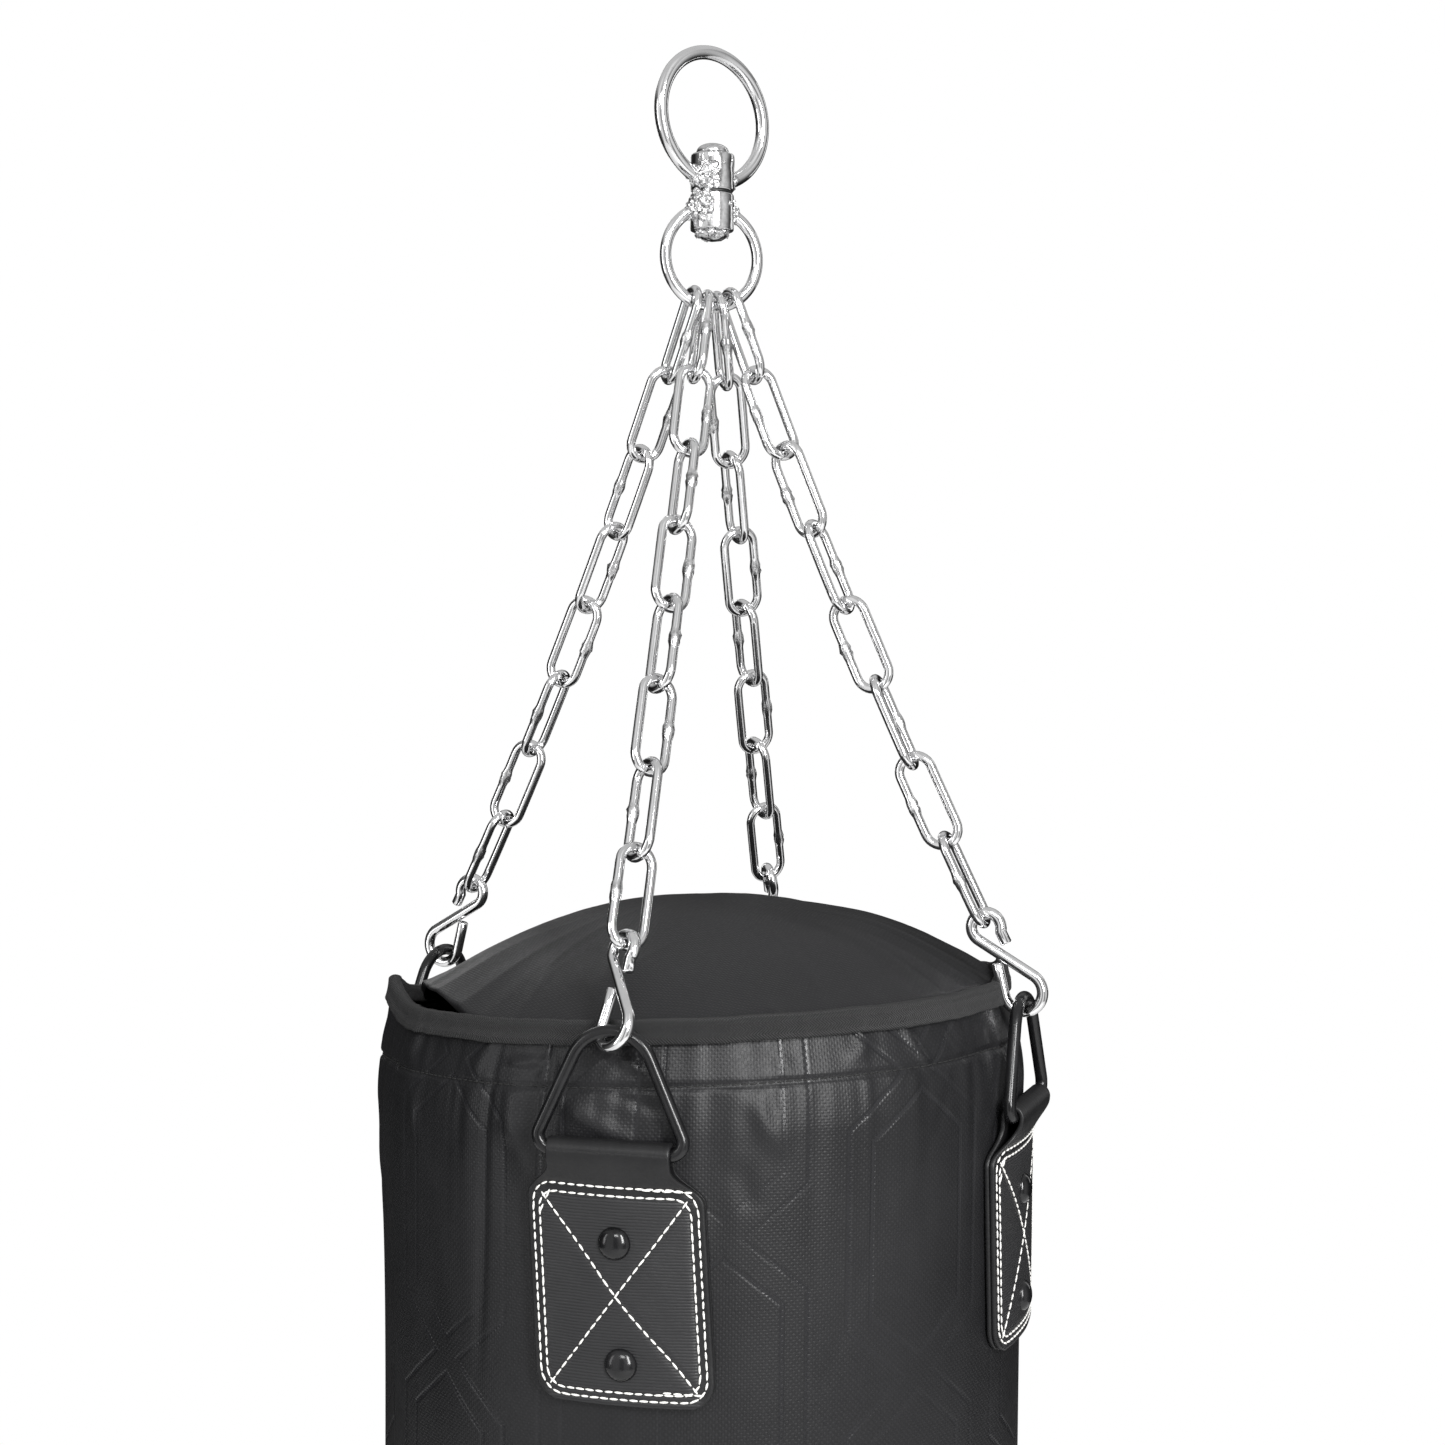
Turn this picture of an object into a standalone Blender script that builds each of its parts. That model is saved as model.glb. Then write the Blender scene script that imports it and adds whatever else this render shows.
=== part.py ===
"""Hanging heavy bag on four chains, with its swivel, rings, hooks and sewn-on hanging tabs.

Run with: blender --background --python part.py
Metres, +Z up. The origin is the hanging point: the inner top of the top ring.
The four hanging tabs face -Y (front), +X (right), +Y (back) and -X (left).
"""
import math
from math import cos, pi, radians, sin, sqrt

import bmesh
import bpy
from mathutils import Matrix, Vector

MM = 0.001

# ---------------------------------------------------------------- driving sizes
GAP = 0.3 * MM                     # between pieces that rest on or pass through each other

RING_WIRE = 7.5 * MM               # top ring: wire and mean radius
RING_RADIUS = 37.0 * MM
RING_TURN = radians(54)            # its plane, anticlockwise from +X
RING_WELD = 0.2 * MM               # gap between a ring's cut ends and the barrel

BARREL_DIAMETER = 24.0 * MM        # swivel barrels, one above the other on one pin
BARREL_HEIGHT = 20.0 * MM
BARREL_EDGE = 1.2 * MM
BARREL_DEPTH = 51.2 * MM           # hanging point down to the upper barrel's top face
PIN_DIAMETER = 10.0 * MM
PIN_HEAD_DIAMETER = 18.0 * MM
PIN_HEAD_HEIGHT = 6.0 * MM
PIN_TAIL_DIAMETER = 16.0 * MM      # the peened lower end
PIN_TAIL_HEIGHT = 5.0 * MM
WASHER_DIAMETER = 22.0 * MM
WASHER_THICKNESS = 0.8 * MM

LOWER_WIRE = 6.3 * MM              # lower ring
LOWER_RADIUS = 27.0 * MM
LOWER_DEPTH = 14.1 * MM            # lower barrel's bottom face down to the ring's centre
LOWER_TURN = radians(36)

LINK_WIRE = 5.0 * MM               # chain links
LINK_INSIDE = 46.0 * MM            # clear length inside one link
LINK_WIDTH = 23.5 * MM
LINK_COUNT = 8
SEAT_GAP = 0.6 * MM                # first link to the lower ring
OUTER_SEAT = 12.0 * MM             # along the lower ring from its lowest point
INNER_SEAT = 4.5 * MM
TWIST_LINKS = 4                    # the chain's twist runs out over this many links

HOOK_WIRE = 6.0 * MM               # S-hook
HOOK_UPPER_RADIUS = 8.0 * MM
HOOK_LOWER_RADIUS = 9.3 * MM
HOOK_STEP_OUT = 20.3 * MM          # between the two bends' centres, outward and down
HOOK_STEP_DOWN = 33.7 * MM
HOOK_UPPER_TIP = 7.0 * MM
HOOK_LOWER_TIP = 17.5 * MM
HOOK_PLAY = 1.2 * MM               # hook to triangle ring, the open pivot

TRIANGLE_WIRE = 6.5 * MM
TRIANGLE_WIDTH = 78.0 * MM         # overall
TRIANGLE_RISE = 57.0 * MM          # bar to apex, wire centres
TRIANGLE_APEX_RADIUS = 21.0 * MM
TRIANGLE_CORNER_RADIUS = 6.5 * MM

BAG_DIAMETER = 350.0 * MM
BAG_LENGTH = 1200.0 * MM
SHELL_WALL = 2.5 * MM
RIM_BELOW_HOOKS = 31.0 * MM        # centre of the hooks' upper bends down to the rim
RIM_INSET = 11.0 * MM              # how far the shoulder draws the rim in
SHOULDER = 55.0 * MM               # height over which it does so
TAPE_THICKNESS = 1.2 * MM
TAPE_HEIGHT = 10.5 * MM
LID_WALL = 2.0 * MM
LID_CROWN = 41.5 * MM
LID_TURN_DOWN = 6.0 * MM           # its edge inside the tape
BOTTOM_WALL = 4.0 * MM
PLATE_ROOM = 3.5 * MM              # between the shell and the filling, for the rivet plates
FILLING_GAP = 1.0 * MM             # filling to lid and to bottom panel

TAB_STRAP = 2.5 * MM               # one layer of the folded strap
TAB_WIDTH = 89.0 * MM
TAB_NECK = 58.0 * MM
TAB_LENGTH = 122.0 * MM            # bar centre to the tab's lower edge
TAB_NECK_DROP = 9.0 * MM           # bar centre down to where the shoulders begin
TAB_SHOULDER = 15.0 * MM
TAB_CORNER = 12.0 * MM

RIVET_HEAD = 15.0 * MM
RIVET_DOME = 3.2 * MM
RIVET_SHANK = 5.0 * MM
RIVET_HOLE_PLAY = 0.6 * MM         # on the diameter
RIVET_DROPS = (44.0 * MM, 102.0 * MM)   # bar centre down to each rivet
PLATE_WIDTH = 20.0 * MM            # the backing plate inside the shell
PLATE_THICKNESS = 1.5 * MM
PLATE_OVERHANG = 12.0 * MM

# the tabs are not quite at quarter turns: left and right are sewn a little round from square
SIDES = {  # azimuth from the front, seat on the lower ring, roll of the hook, of the lower links
    "front": (0, -INNER_SEAT, radians(-36), radians(-50)),
    "right": (82.5, OUTER_SEAT, 0.0, 0.0),
    "back": (180, INNER_SEAT, radians(-28), radians(-45)),
    "left": (255, -OUTER_SEAT, 0.0, 0.0),
}

TURN_STEPS = 48                    # facets round the bag; a multiple of four
BARREL_STEPS = 24

# ---------------------------------------------------------------- worked-out places
UP = Vector((0, 0, 1))
BAG_RADIUS = BAG_DIAMETER / 2
RING_CENTRE_Z = RING_WIRE / 2 - RING_RADIUS
UPPER_BARREL_TOP = -BARREL_DEPTH
LOWER_BARREL_TOP = UPPER_BARREL_TOP - BARREL_HEIGHT - WASHER_THICKNESS - 2 * GAP
LOWER_BARREL_BOTTOM = LOWER_BARREL_TOP - BARREL_HEIGHT
LOWER_CENTRE_Z = LOWER_BARREL_BOTTOM - LOWER_DEPTH
LOWER_TANGENT = Vector((cos(LOWER_TURN), sin(LOWER_TURN), 0))
SWING_POINT = Vector((0, 0, LOWER_CENTRE_Z - LOWER_RADIUS))
LINK_STEP = LINK_INSIDE - GAP      # from one link to the next

RIM_RADIUS = BAG_RADIUS - RIM_INSET
RIM_STANDOFF = TAPE_THICKNESS + GAP + HOOK_WIRE / 2 + GAP
HOOK_TIP_RADIUS = RIM_RADIUS + RIM_STANDOFF + 0.8 * MM
HOOK_LOWER_CENTRE = HOOK_TIP_RADIUS + HOOK_LOWER_RADIUS
HOOK_UPPER_CENTRE = HOOK_LOWER_CENTRE - HOOK_STEP_OUT

APEX_ABOVE_BEND = HOOK_WIRE / 2 + TRIANGLE_WIRE / 2 + HOOK_PLAY - HOOK_LOWER_RADIUS
TAB_INNER_RADIUS = BAG_RADIUS + GAP
LOOP_HOLE = TRIANGLE_WIRE / 2 + GAP
BAR_RADIUS = TAB_INNER_RADIUS + TAB_STRAP + LOOP_HOLE    # bar's distance from the bag's axis


def side_axes(side):
    """Outward and sideways unit vectors of one side of the bag."""
    azimuth = radians(SIDES[side][0])
    outward = Vector((sin(azimuth), -cos(azimuth), 0))
    sideways = Vector((cos(azimuth), sin(azimuth), 0))
    return outward, sideways


def chain_line(side):
    """Where a chain starts on the lower ring, its direction, and where its hook begins.

    The chain has a fixed length, so it decides how low its hook, and so the bag, hangs.
    """
    outward, sideways = side_axes(side)
    seat = SIDES[side][1] / LOWER_RADIUS
    start = Vector((0, 0, LOWER_CENTRE_Z)) + LOWER_RADIUS * (sin(seat) * LOWER_TANGENT - cos(seat) * UP)
    reach = (LINK_COUNT * LINK_INSIDE - (LINK_COUNT - 1) * GAP - (LOWER_WIRE + HOOK_WIRE) / 2
             - SEAT_GAP - GAP)
    lean = 0.42                    # first guess at the chain's slope from the vertical
    for _ in range(12):            # the contact point on the hook's bend follows the chain's lean
        top_radius = HOOK_UPPER_CENTRE - HOOK_UPPER_RADIUS * lean
        across = outward * top_radius - Vector((start.x, start.y, 0))
        lean = across.length / reach
    hook_top = outward * top_radius
    hook_top.z = start.z - sqrt(reach ** 2 - across.length ** 2)
    return start, (hook_top - start).normalized(), hook_top, lean


def hook_centre_z(side):
    """Height of the upper bend's centre on one hook."""
    _, _, hook_top, lean = chain_line(side)
    return hook_top.z - HOOK_UPPER_RADIUS * sqrt(1 - lean ** 2)


def apex_z(side):
    return hook_centre_z(side) - HOOK_STEP_DOWN + APEX_ABOVE_BEND


def bar_z(side):
    return apex_z(side) - TRIANGLE_RISE


RIM_Z = sum(hook_centre_z(side) for side in SIDES) / len(SIDES) - RIM_BELOW_HOOKS
BAG_BOTTOM = RIM_Z - BAG_LENGTH


# ---------------------------------------------------------------- helpers
def clear_scene():
    for thing in list(bpy.data.objects):
        bpy.data.objects.remove(thing, do_unlink=True)


def new_collection(name):
    collection = bpy.data.collections.new(name)
    bpy.context.scene.collection.children.link(collection)
    return collection


def make_material(name, colour, roughness, metallic=0.0):
    material = bpy.data.materials.new(name)
    material.use_nodes = True
    shader = material.node_tree.nodes["Principled BSDF"]
    shader.inputs["Base Color"].default_value = (*colour, 1)
    shader.inputs["Roughness"].default_value = roughness
    shader.inputs["Metallic"].default_value = metallic
    material.diffuse_color = (*colour, 1)
    return material


def add_object(name, data, material=None, collection=None):
    thing = bpy.data.objects.new(name, data)
    (collection or PARTS).objects.link(thing)
    if material:
        data.materials.append(material)
    return thing


def wire(name, points, diameter, material, closed=True, resolution=2, collection=None):
    """A bent wire: a poly curve with a round section."""
    curve = bpy.data.curves.new(name, "CURVE")
    curve.dimensions = "3D"
    curve.bevel_depth = diameter / 2
    curve.bevel_resolution = resolution
    curve.use_fill_caps = not closed
    spline = curve.splines.new("POLY")
    spline.points.add(len(points) - 1)
    for slot, point in zip(spline.points, points):
        slot.co = (*point, 1)
    spline.use_cyclic_u = closed
    spline.use_smooth = True
    return add_object(name, curve, material, collection)


def turned(name, profile, material, steps=TURN_STEPS, ring=False, collection=None):
    """A profile of (radius, z) turned about the Z axis. A ring's profile is a closed loop."""
    mesh = bpy.data.meshes.new(name)
    edges = [(i, i + 1) for i in range(len(profile) - 1)]
    if ring:
        edges.append((len(profile) - 1, 0))
    mesh.from_pydata([(radius, 0, z) for radius, z in profile], edges, [])
    thing = add_object(name, mesh, material, collection)
    screw = thing.modifiers.new("turn", "SCREW")
    screw.steps = steps
    screw.render_steps = steps
    screw.use_merge_vertices = True
    screw.merge_threshold = 0.01 * MM
    screw.use_smooth_shade = True
    return thing


def baked(thing, name=None):
    """Replace an object by a plain mesh of how it looks with its modifiers."""
    graph = bpy.context.evaluated_depsgraph_get()
    mesh = bpy.data.meshes.new_from_object(thing.evaluated_get(graph))
    work = bmesh.new()
    work.from_mesh(mesh)
    bmesh.ops.remove_doubles(work, verts=work.verts, dist=0.01 * MM)
    bmesh.ops.recalc_face_normals(work, faces=work.faces)
    work.to_mesh(mesh)
    work.free()
    name = name or thing.name
    place = thing.matrix_world.copy()
    collection = thing.users_collection[0]
    bpy.data.objects.remove(thing, do_unlink=True)
    fresh = bpy.data.objects.new(name, mesh)
    collection.objects.link(fresh)
    fresh.matrix_world = place
    return fresh


def cylinder(name, diameter, start, end, steps=16):
    """A plain cylinder between two points, kept as a guide."""
    axis = Vector(end) - Vector(start)
    work = bmesh.new()
    bmesh.ops.create_cone(work, cap_ends=True, segments=steps, radius1=diameter / 2,
                          radius2=diameter / 2, depth=axis.length)
    turn = axis.to_track_quat("Z", "Y").to_matrix().to_4x4()
    place = Matrix.Translation((Vector(start) + Vector(end)) / 2) @ turn
    bmesh.ops.transform(work, matrix=place, verts=work.verts)
    mesh = bpy.data.meshes.new(name)
    work.to_mesh(mesh)
    work.free()
    return as_guide(add_object(name, mesh, collection=CUTTERS))


def as_guide(thing):
    thing.hide_render = True
    thing.display_type = "WIRE"
    return thing


def boolean(thing, operand, operation):
    modifier = thing.modifiers.new(operand.name, "BOOLEAN")
    modifier.operation = operation
    modifier.solver = "EXACT"
    modifier.object = operand


def sharpen(thing, angle=40):
    thing.data.shade_smooth()
    thing.data.set_sharp_from_angle(angle=radians(angle))
    return thing


def arc(centre, radius, start, end, count):
    """Points on a circle in a plane, from one angle to another, both included."""
    angles = (start + (end - start) * i / (count - 1) for i in range(count))
    return [(centre[0] + radius * cos(a), centre[1] + radius * sin(a)) for a in angles]


# ---------------------------------------------------------------- hanger and swivel
def open_ring(name, radius, wire_diameter, centre_z, turn, barrel_side, steps):
    """A ring cut open where the barrel sits between its ends; barrel_side is -1 below, 1 above."""
    tangent = Vector((cos(turn), sin(turn), 0))
    reach = BARREL_DIAMETER / 2 + RING_WELD
    half_gap = math.asin((reach + wire_diameter * 0.25) / radius)
    middle = pi / 2 * barrel_side
    angles = [middle + half_gap + (2 * pi - 2 * half_gap) * i / (steps - 1) for i in range(steps)]
    points = [Vector((0, 0, centre_z)) + radius * (cos(a) * tangent + sin(a) * UP) for a in angles]
    tips = []
    for end in (points[0], points[-1]):
        side = math.copysign(1, end.dot(tangent))
        tips.append(Vector((0, 0, end.z)) + tangent * side * reach)
    return wire(name, [tips[0], *points, tips[1]], wire_diameter, STEEL, closed=False)


def barrel(name, top):
    """One swivel barrel, bored for the pin, with broken edges."""
    outer = BARREL_DIAMETER / 2
    bore = PIN_DIAMETER / 2 + GAP
    bottom = top - BARREL_HEIGHT
    profile = [(bore, top), (outer - BARREL_EDGE, top), (outer, top - BARREL_EDGE),
               (outer, bottom + BARREL_EDGE), (outer - BARREL_EDGE, bottom), (bore, bottom)]
    return turned(name, profile, STEEL, steps=BARREL_STEPS, ring=True)


def swivel_pin():
    """A domed rivet head, a shank through both barrels and a peened tail."""
    head = UPPER_BARREL_TOP + GAP
    tail = LOWER_BARREL_BOTTOM - GAP
    head_radius = PIN_HEAD_DIAMETER / 2
    shank = PIN_DIAMETER / 2
    tail_radius = PIN_TAIL_DIAMETER / 2
    dome = [(head_radius * sin(a), head + PIN_HEAD_HEIGHT * cos(a))
            for a in (pi / 2 * i / 4 for i in range(5))]
    foot = [(tail_radius, tail), (tail_radius * 0.92, tail - PIN_TAIL_HEIGHT * 0.6),
            (tail_radius * 0.5, tail - PIN_TAIL_HEIGHT), (0, tail - PIN_TAIL_HEIGHT)]
    return turned("swivel_pin", [*dome, (shank, head), (shank, tail), *foot], STEEL,
                  steps=BARREL_STEPS)


def swivel_washer():
    top = UPPER_BARREL_TOP - BARREL_HEIGHT - GAP
    outer = WASHER_DIAMETER / 2
    bore = PIN_DIAMETER / 2 + GAP
    profile = [(bore, top), (outer, top), (outer, top - WASHER_THICKNESS), (bore, top - WASHER_THICKNESS)]
    return turned("swivel_washer", profile, STEEL, steps=BARREL_STEPS, ring=True)


# ---------------------------------------------------------------- chains and hooks
def link_points(top, along, normal):
    """Wire centre line of a long link that hangs from its top point."""
    across = normal.cross(along)
    bend = (LINK_WIDTH - LINK_WIRE) / 2
    length = LINK_INSIDE + LINK_WIRE
    points = []
    for centre, first in ((top + along * bend, 0.0), (top + along * (length - bend), pi)):
        for step in range(7):
            angle = first + pi * step / 6
            points.append(centre + bend * (cos(angle) * across - sin(angle) * along))
    return points


def chain(side):
    """Eight links in a straight, taut chain; the first one lies square to the lower ring."""
    start, along, _, _ = chain_line(side)
    _, sideways = side_axes(side)
    square = (sideways - sideways.dot(along) * along).normalized()
    turned_square = along.cross(square)
    ring_roll = math.atan2(LOWER_TANGENT.dot(turned_square), LOWER_TANGENT.dot(square))
    ring_roll = (ring_roll + pi / 2) % pi - pi / 2     # a link looks the same from both faces
    end_roll = SIDES[side][3]
    first_top = start - along * (LOWER_WIRE / 2 + LINK_WIRE / 2 + SEAT_GAP)
    links = []
    for index in range(LINK_COUNT):
        left_over = max(0.0, 1 - index / TWIST_LINKS)
        roll = end_roll + (ring_roll - end_roll) * left_over + index % 2 * pi / 2
        normal = cos(roll) * square + sin(roll) * turned_square
        points = link_points(first_top + along * LINK_STEP * index, along, normal)
        links.append(wire(f"chain_{side}_link_{index + 1}", points, LINK_WIRE, STEEL, resolution=1))
    return links


def hook_outline():
    """The S-hook's centre line as (outward, z), with the upper bend's centre at the origin."""
    upper = (0.0, 0.0)
    lower = (HOOK_STEP_OUT, -HOOK_STEP_DOWN)
    distance = math.hypot(*lower)
    slope = math.atan2(lower[1], lower[0])
    lean = math.asin((HOOK_UPPER_RADIUS + HOOK_LOWER_RADIUS) / distance)
    tangent = slope + lean                       # direction of the straight run between bends
    upper_end = tangent - pi / 2 + 2 * pi        # left underside of the upper bend
    lower_start = tangent + pi / 2               # outer top of the lower bend
    over = arc(upper, HOOK_UPPER_RADIUS, radians(-12), upper_end, 9)
    under = arc(lower, HOOK_LOWER_RADIUS, lower_start, -pi, 12)
    tip_slope = radians(-62)
    upper_tip = (over[0][0] + HOOK_UPPER_TIP * cos(tip_slope), over[0][1] + HOOK_UPPER_TIP * sin(tip_slope))
    lower_tip = (under[-1][0], under[-1][1] + HOOK_LOWER_TIP)
    return [upper_tip, *over, *under, lower_tip]


def s_hook(side):
    """The hook, rolled about the line from its chain to its triangle ring."""
    outward, sideways = side_axes(side)
    _, _, hook_top, _ = chain_line(side)
    centre = outward * HOOK_UPPER_CENTRE + UP * hook_centre_z(side)
    points = [centre + outward * x + UP * z for x, z in hook_outline()]
    apex = outward * (HOOK_LOWER_CENTRE) + UP * apex_z(side)
    axis = (hook_top - apex).normalized()
    roll = Matrix.Rotation(-SIDES[side][2], 3, axis)
    points = [apex + roll @ (point - apex) for point in points]
    return wire(f"s_hook_{side}", points, HOOK_WIRE, STEEL, closed=False, resolution=1)


def triangle_outline():
    """A triangle with rounded corners as (sideways, up), its bar's centre at the origin."""
    corner = TRIANGLE_CORNER_RADIUS
    half = TRIANGLE_WIDTH / 2 - TRIANGLE_WIRE / 2 - corner
    apex_centre = (0.0, TRIANGLE_RISE - TRIANGLE_APEX_RADIUS)
    run = math.hypot(half, apex_centre[1] - corner)
    rise = math.atan2(apex_centre[1] - corner, half)
    leg = rise + math.asin((TRIANGLE_APEX_RADIUS - corner) / run)
    tilt = pi / 2 - leg                          # outward normal of the right leg
    right = arc((half, corner), corner, -pi / 2, tilt, 5)
    top = arc(apex_centre, TRIANGLE_APEX_RADIUS, tilt, pi - tilt, 9)
    left = [(-x, y) for x, y in reversed(right)]
    return [*right, *top, *left]


def triangle_ring(side):
    """The black ring, leaning in from the tab's loop to the hook."""
    outward, sideways = side_axes(side)
    bar = outward * BAR_RADIUS + UP * bar_z(side)
    apex = outward * HOOK_LOWER_CENTRE + UP * apex_z(side)
    rise = (apex - bar).normalized()
    points = [bar + sideways * x + rise * y for x, y in triangle_outline()]
    return wire(f"triangle_ring_{side}", points, TRIANGLE_WIRE, BLACK_METAL, resolution=1)


# ---------------------------------------------------------------- tabs and rivets
def tab_outline():
    """Right half of the tab's outline below the bar, as (sideways, z)."""
    half = TAB_WIDTH / 2
    bottom = arc((half - TAB_CORNER, TAB_CORNER - TAB_LENGTH), TAB_CORNER, -pi / 2, 0, 4)
    return [*bottom, (half, -TAB_NECK_DROP - TAB_SHOULDER), (TAB_NECK / 2, -TAB_NECK_DROP),
            (TAB_NECK / 2, 0)]


def tab_mesh():
    """The folded strap of the front side, its bar at z = 0: a curved double layer and a loop."""
    right = tab_outline()
    outline = [*right, *((-x, z) for x, z in reversed(right))]
    curve = bpy.data.curves.new("tab_outline", "CURVE")
    curve.dimensions = "2D"
    curve.fill_mode = "BOTH"
    curve.extrude = 0.03
    spline = curve.splines.new("POLY")
    spline.points.add(len(outline) - 1)
    for slot, (x, z) in zip(spline.points, outline):
        slot.co = (x, z, 0, 1)
    spline.use_cyclic_u = True
    prism = add_object("tab_prism", curve, collection=CUTTERS)
    prism.matrix_world = Matrix.Translation((0, -BAR_RADIUS, 0)) @ Matrix.Rotation(pi / 2, 4, "X")
    bpy.context.view_layer.update()
    prism = as_guide(baked(prism))

    outer = TAB_INNER_RADIUS + 2 * TAB_STRAP
    above = 0.01
    below = -TAB_LENGTH - 0.01
    wall = turned("tab_wall", [(TAB_INNER_RADIUS, above), (outer, above), (outer, below),
                               (TAB_INNER_RADIUS, below)], LEATHER, ring=True)
    half = TAB_NECK / 2
    loop_radius = LOOP_HOLE + TAB_STRAP
    loop = cylinder("tab_loop", 2 * loop_radius, (-half, -BAR_RADIUS, 0), (half, -BAR_RADIUS, 0), 20)
    hole = cylinder("tab_loop_hole", 2 * LOOP_HOLE, (-half - 0.01, -BAR_RADIUS, 0),
                    (half + 0.01, -BAR_RADIUS, 0), 12)
    boolean(wall, prism, "INTERSECT")
    boolean(wall, loop, "UNION")
    boolean(wall, hole, "DIFFERENCE")
    for index, drop in enumerate(RIVET_DROPS):
        bore = cylinder(f"tab_bore_{index + 1}", RIVET_SHANK + RIVET_HOLE_PLAY,
                        (0, -BAR_RADIUS - 0.02, -drop), (0, -BAR_RADIUS + 0.02, -drop), 10)
        boolean(wall, bore, "DIFFERENCE")
    bpy.context.view_layer.update()
    tab = baked(wall, "tab_pattern")
    mesh = tab.data
    bpy.data.objects.remove(tab)
    for name in ("tab_prism", "tab_loop", "tab_loop_hole", "tab_bore_1", "tab_bore_2"):
        bpy.data.objects.remove(bpy.data.objects[name])
    return mesh


def rivet_mesh():
    """Two domed rivets of the front side, joined by the backing plate inside the shell."""
    face = TAB_INNER_RADIUS + 2 * TAB_STRAP + GAP
    plate_outer = (BAG_RADIUS - SHELL_WALL) * cos(pi / TURN_STEPS) - 0.3 * MM - GAP
    plate_inner = plate_outer - PLATE_THICKNESS
    top = -RIVET_DROPS[0] + PLATE_OVERHANG
    bottom = -RIVET_DROPS[-1] - PLATE_OVERHANG
    work = bmesh.new()
    bmesh.ops.create_cube(work, size=1)
    size = Matrix.Diagonal((PLATE_WIDTH, PLATE_THICKNESS, top - bottom, 1))
    place = Matrix.Translation((0, -(plate_outer + plate_inner) / 2, (top + bottom) / 2))
    bmesh.ops.transform(work, matrix=place @ size, verts=work.verts)
    mesh = bpy.data.meshes.new("rivet_plate")
    work.to_mesh(mesh)
    work.free()
    plate = add_object("rivet_plate", mesh, BLACK_METAL)
    head = RIVET_HEAD / 2
    shank = RIVET_SHANK / 2
    dome = [(head * sin(a), face + RIVET_DOME * cos(a)) for a in (pi / 2 * i / 3 for i in range(4))]
    inside = plate_outer - PLATE_THICKNESS / 2
    for index, drop in enumerate(RIVET_DROPS):
        rivet = turned(f"rivet_{index + 1}", [*dome, (shank, face), (shank, inside), (0, inside)],
                       None, steps=12, collection=CUTTERS)
        rivet.matrix_world = Matrix.Translation((0, 0, -drop)) @ Matrix.Rotation(pi / 2, 4, "X")
        bpy.context.view_layer.update()
        as_guide(baked(rivet, f"rivet_{index + 1}"))
        boolean(plate, bpy.data.objects[f"rivet_{index + 1}"], "UNION")
    bpy.context.view_layer.update()
    pair = baked(plate, "rivet_pattern")
    mesh = pair.data
    bpy.data.objects.remove(pair)
    for index in range(len(RIVET_DROPS)):
        bpy.data.objects.remove(bpy.data.objects[f"rivet_{index + 1}"])
    return mesh


def on_every_side(prefix, mesh, material):
    """One copy of a front-side mesh on each side, level with that side's bar."""
    if not mesh.materials:
        mesh.materials.append(material)
    for side, (azimuth, *_) in SIDES.items():
        thing = bpy.data.objects.new(f"{prefix}_{side}", mesh)
        PARTS.objects.link(thing)
        turn = Matrix.Rotation(radians(azimuth), 4, "Z")
        thing.matrix_world = Matrix.Translation((0, 0, bar_z(side))) @ turn


# ---------------------------------------------------------------- bag
def shoulder_points(radius, top):
    """From the rim down to the straight wall, on a shell of the given outer radius."""
    points = []
    for step in range(6):
        share = step / 5
        swell = share * share * (3 - 2 * share)
        points.append((radius - RIM_INSET * (1 - swell), top - (SHOULDER - (RIM_Z - top)) * share))
    return points


def bag_shell():
    """The outer tube: a shoulder drawn in to the rim, and holes for the rivets."""
    top = RIM_Z - TAPE_THICKNESS - GAP
    outside = shoulder_points(BAG_RADIUS, top)
    inside = [(radius - SHELL_WALL, z) for radius, z in reversed(outside)]
    profile = [*outside, (BAG_RADIUS, BAG_BOTTOM), (BAG_RADIUS - SHELL_WALL, BAG_BOTTOM), *inside]
    shell = turned("bag_shell", profile, FABRIC, ring=True)
    for side in SIDES:
        outward, _ = side_axes(side)
        for index, drop in enumerate(RIVET_DROPS):
            height = UP * (bar_z(side) - drop)
            bore = cylinder(f"bore_{side}_{index + 1}", RIVET_SHANK + RIVET_HOLE_PLAY,
                            outward * (BAG_RADIUS - 0.02) + height,
                            outward * (BAG_RADIUS + 0.02) + height, 10)
            boolean(shell, bore, "DIFFERENCE")
    return shell


def rim_tape():
    """Binding tape folded over the shell's top edge."""
    outer = RIM_RADIUS + GAP
    inner = RIM_RADIUS - SHELL_WALL - GAP
    bottom = RIM_Z - TAPE_HEIGHT
    under = RIM_Z - TAPE_THICKNESS
    slack = RIM_INSET * 3 * (TAPE_HEIGHT / SHOULDER) ** 2
    profile = [(inner - TAPE_THICKNESS, RIM_Z), (outer + TAPE_THICKNESS, RIM_Z),
               (outer + TAPE_THICKNESS + slack, bottom), (outer + slack, bottom), (outer, under),
               (inner, under), (inner, bottom), (inner - TAPE_THICKNESS, bottom)]
    return turned("rim_tape", profile, TAPE, ring=True)


LID_RADIUS = RIM_RADIUS - SHELL_WALL - TAPE_THICKNESS - 3 * GAP
LID_EDGE_Z = RIM_Z - 4.0 * MM


def crown(radius):
    """The domed lid's section as (radius, z), its skin's edge at the given radius."""
    return [(radius * share, LID_EDGE_Z + LID_CROWN * (1 - share ** 2.4))
            for share in (0, 0.25, 0.5, 0.7, 0.85, 0.95)]


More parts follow.
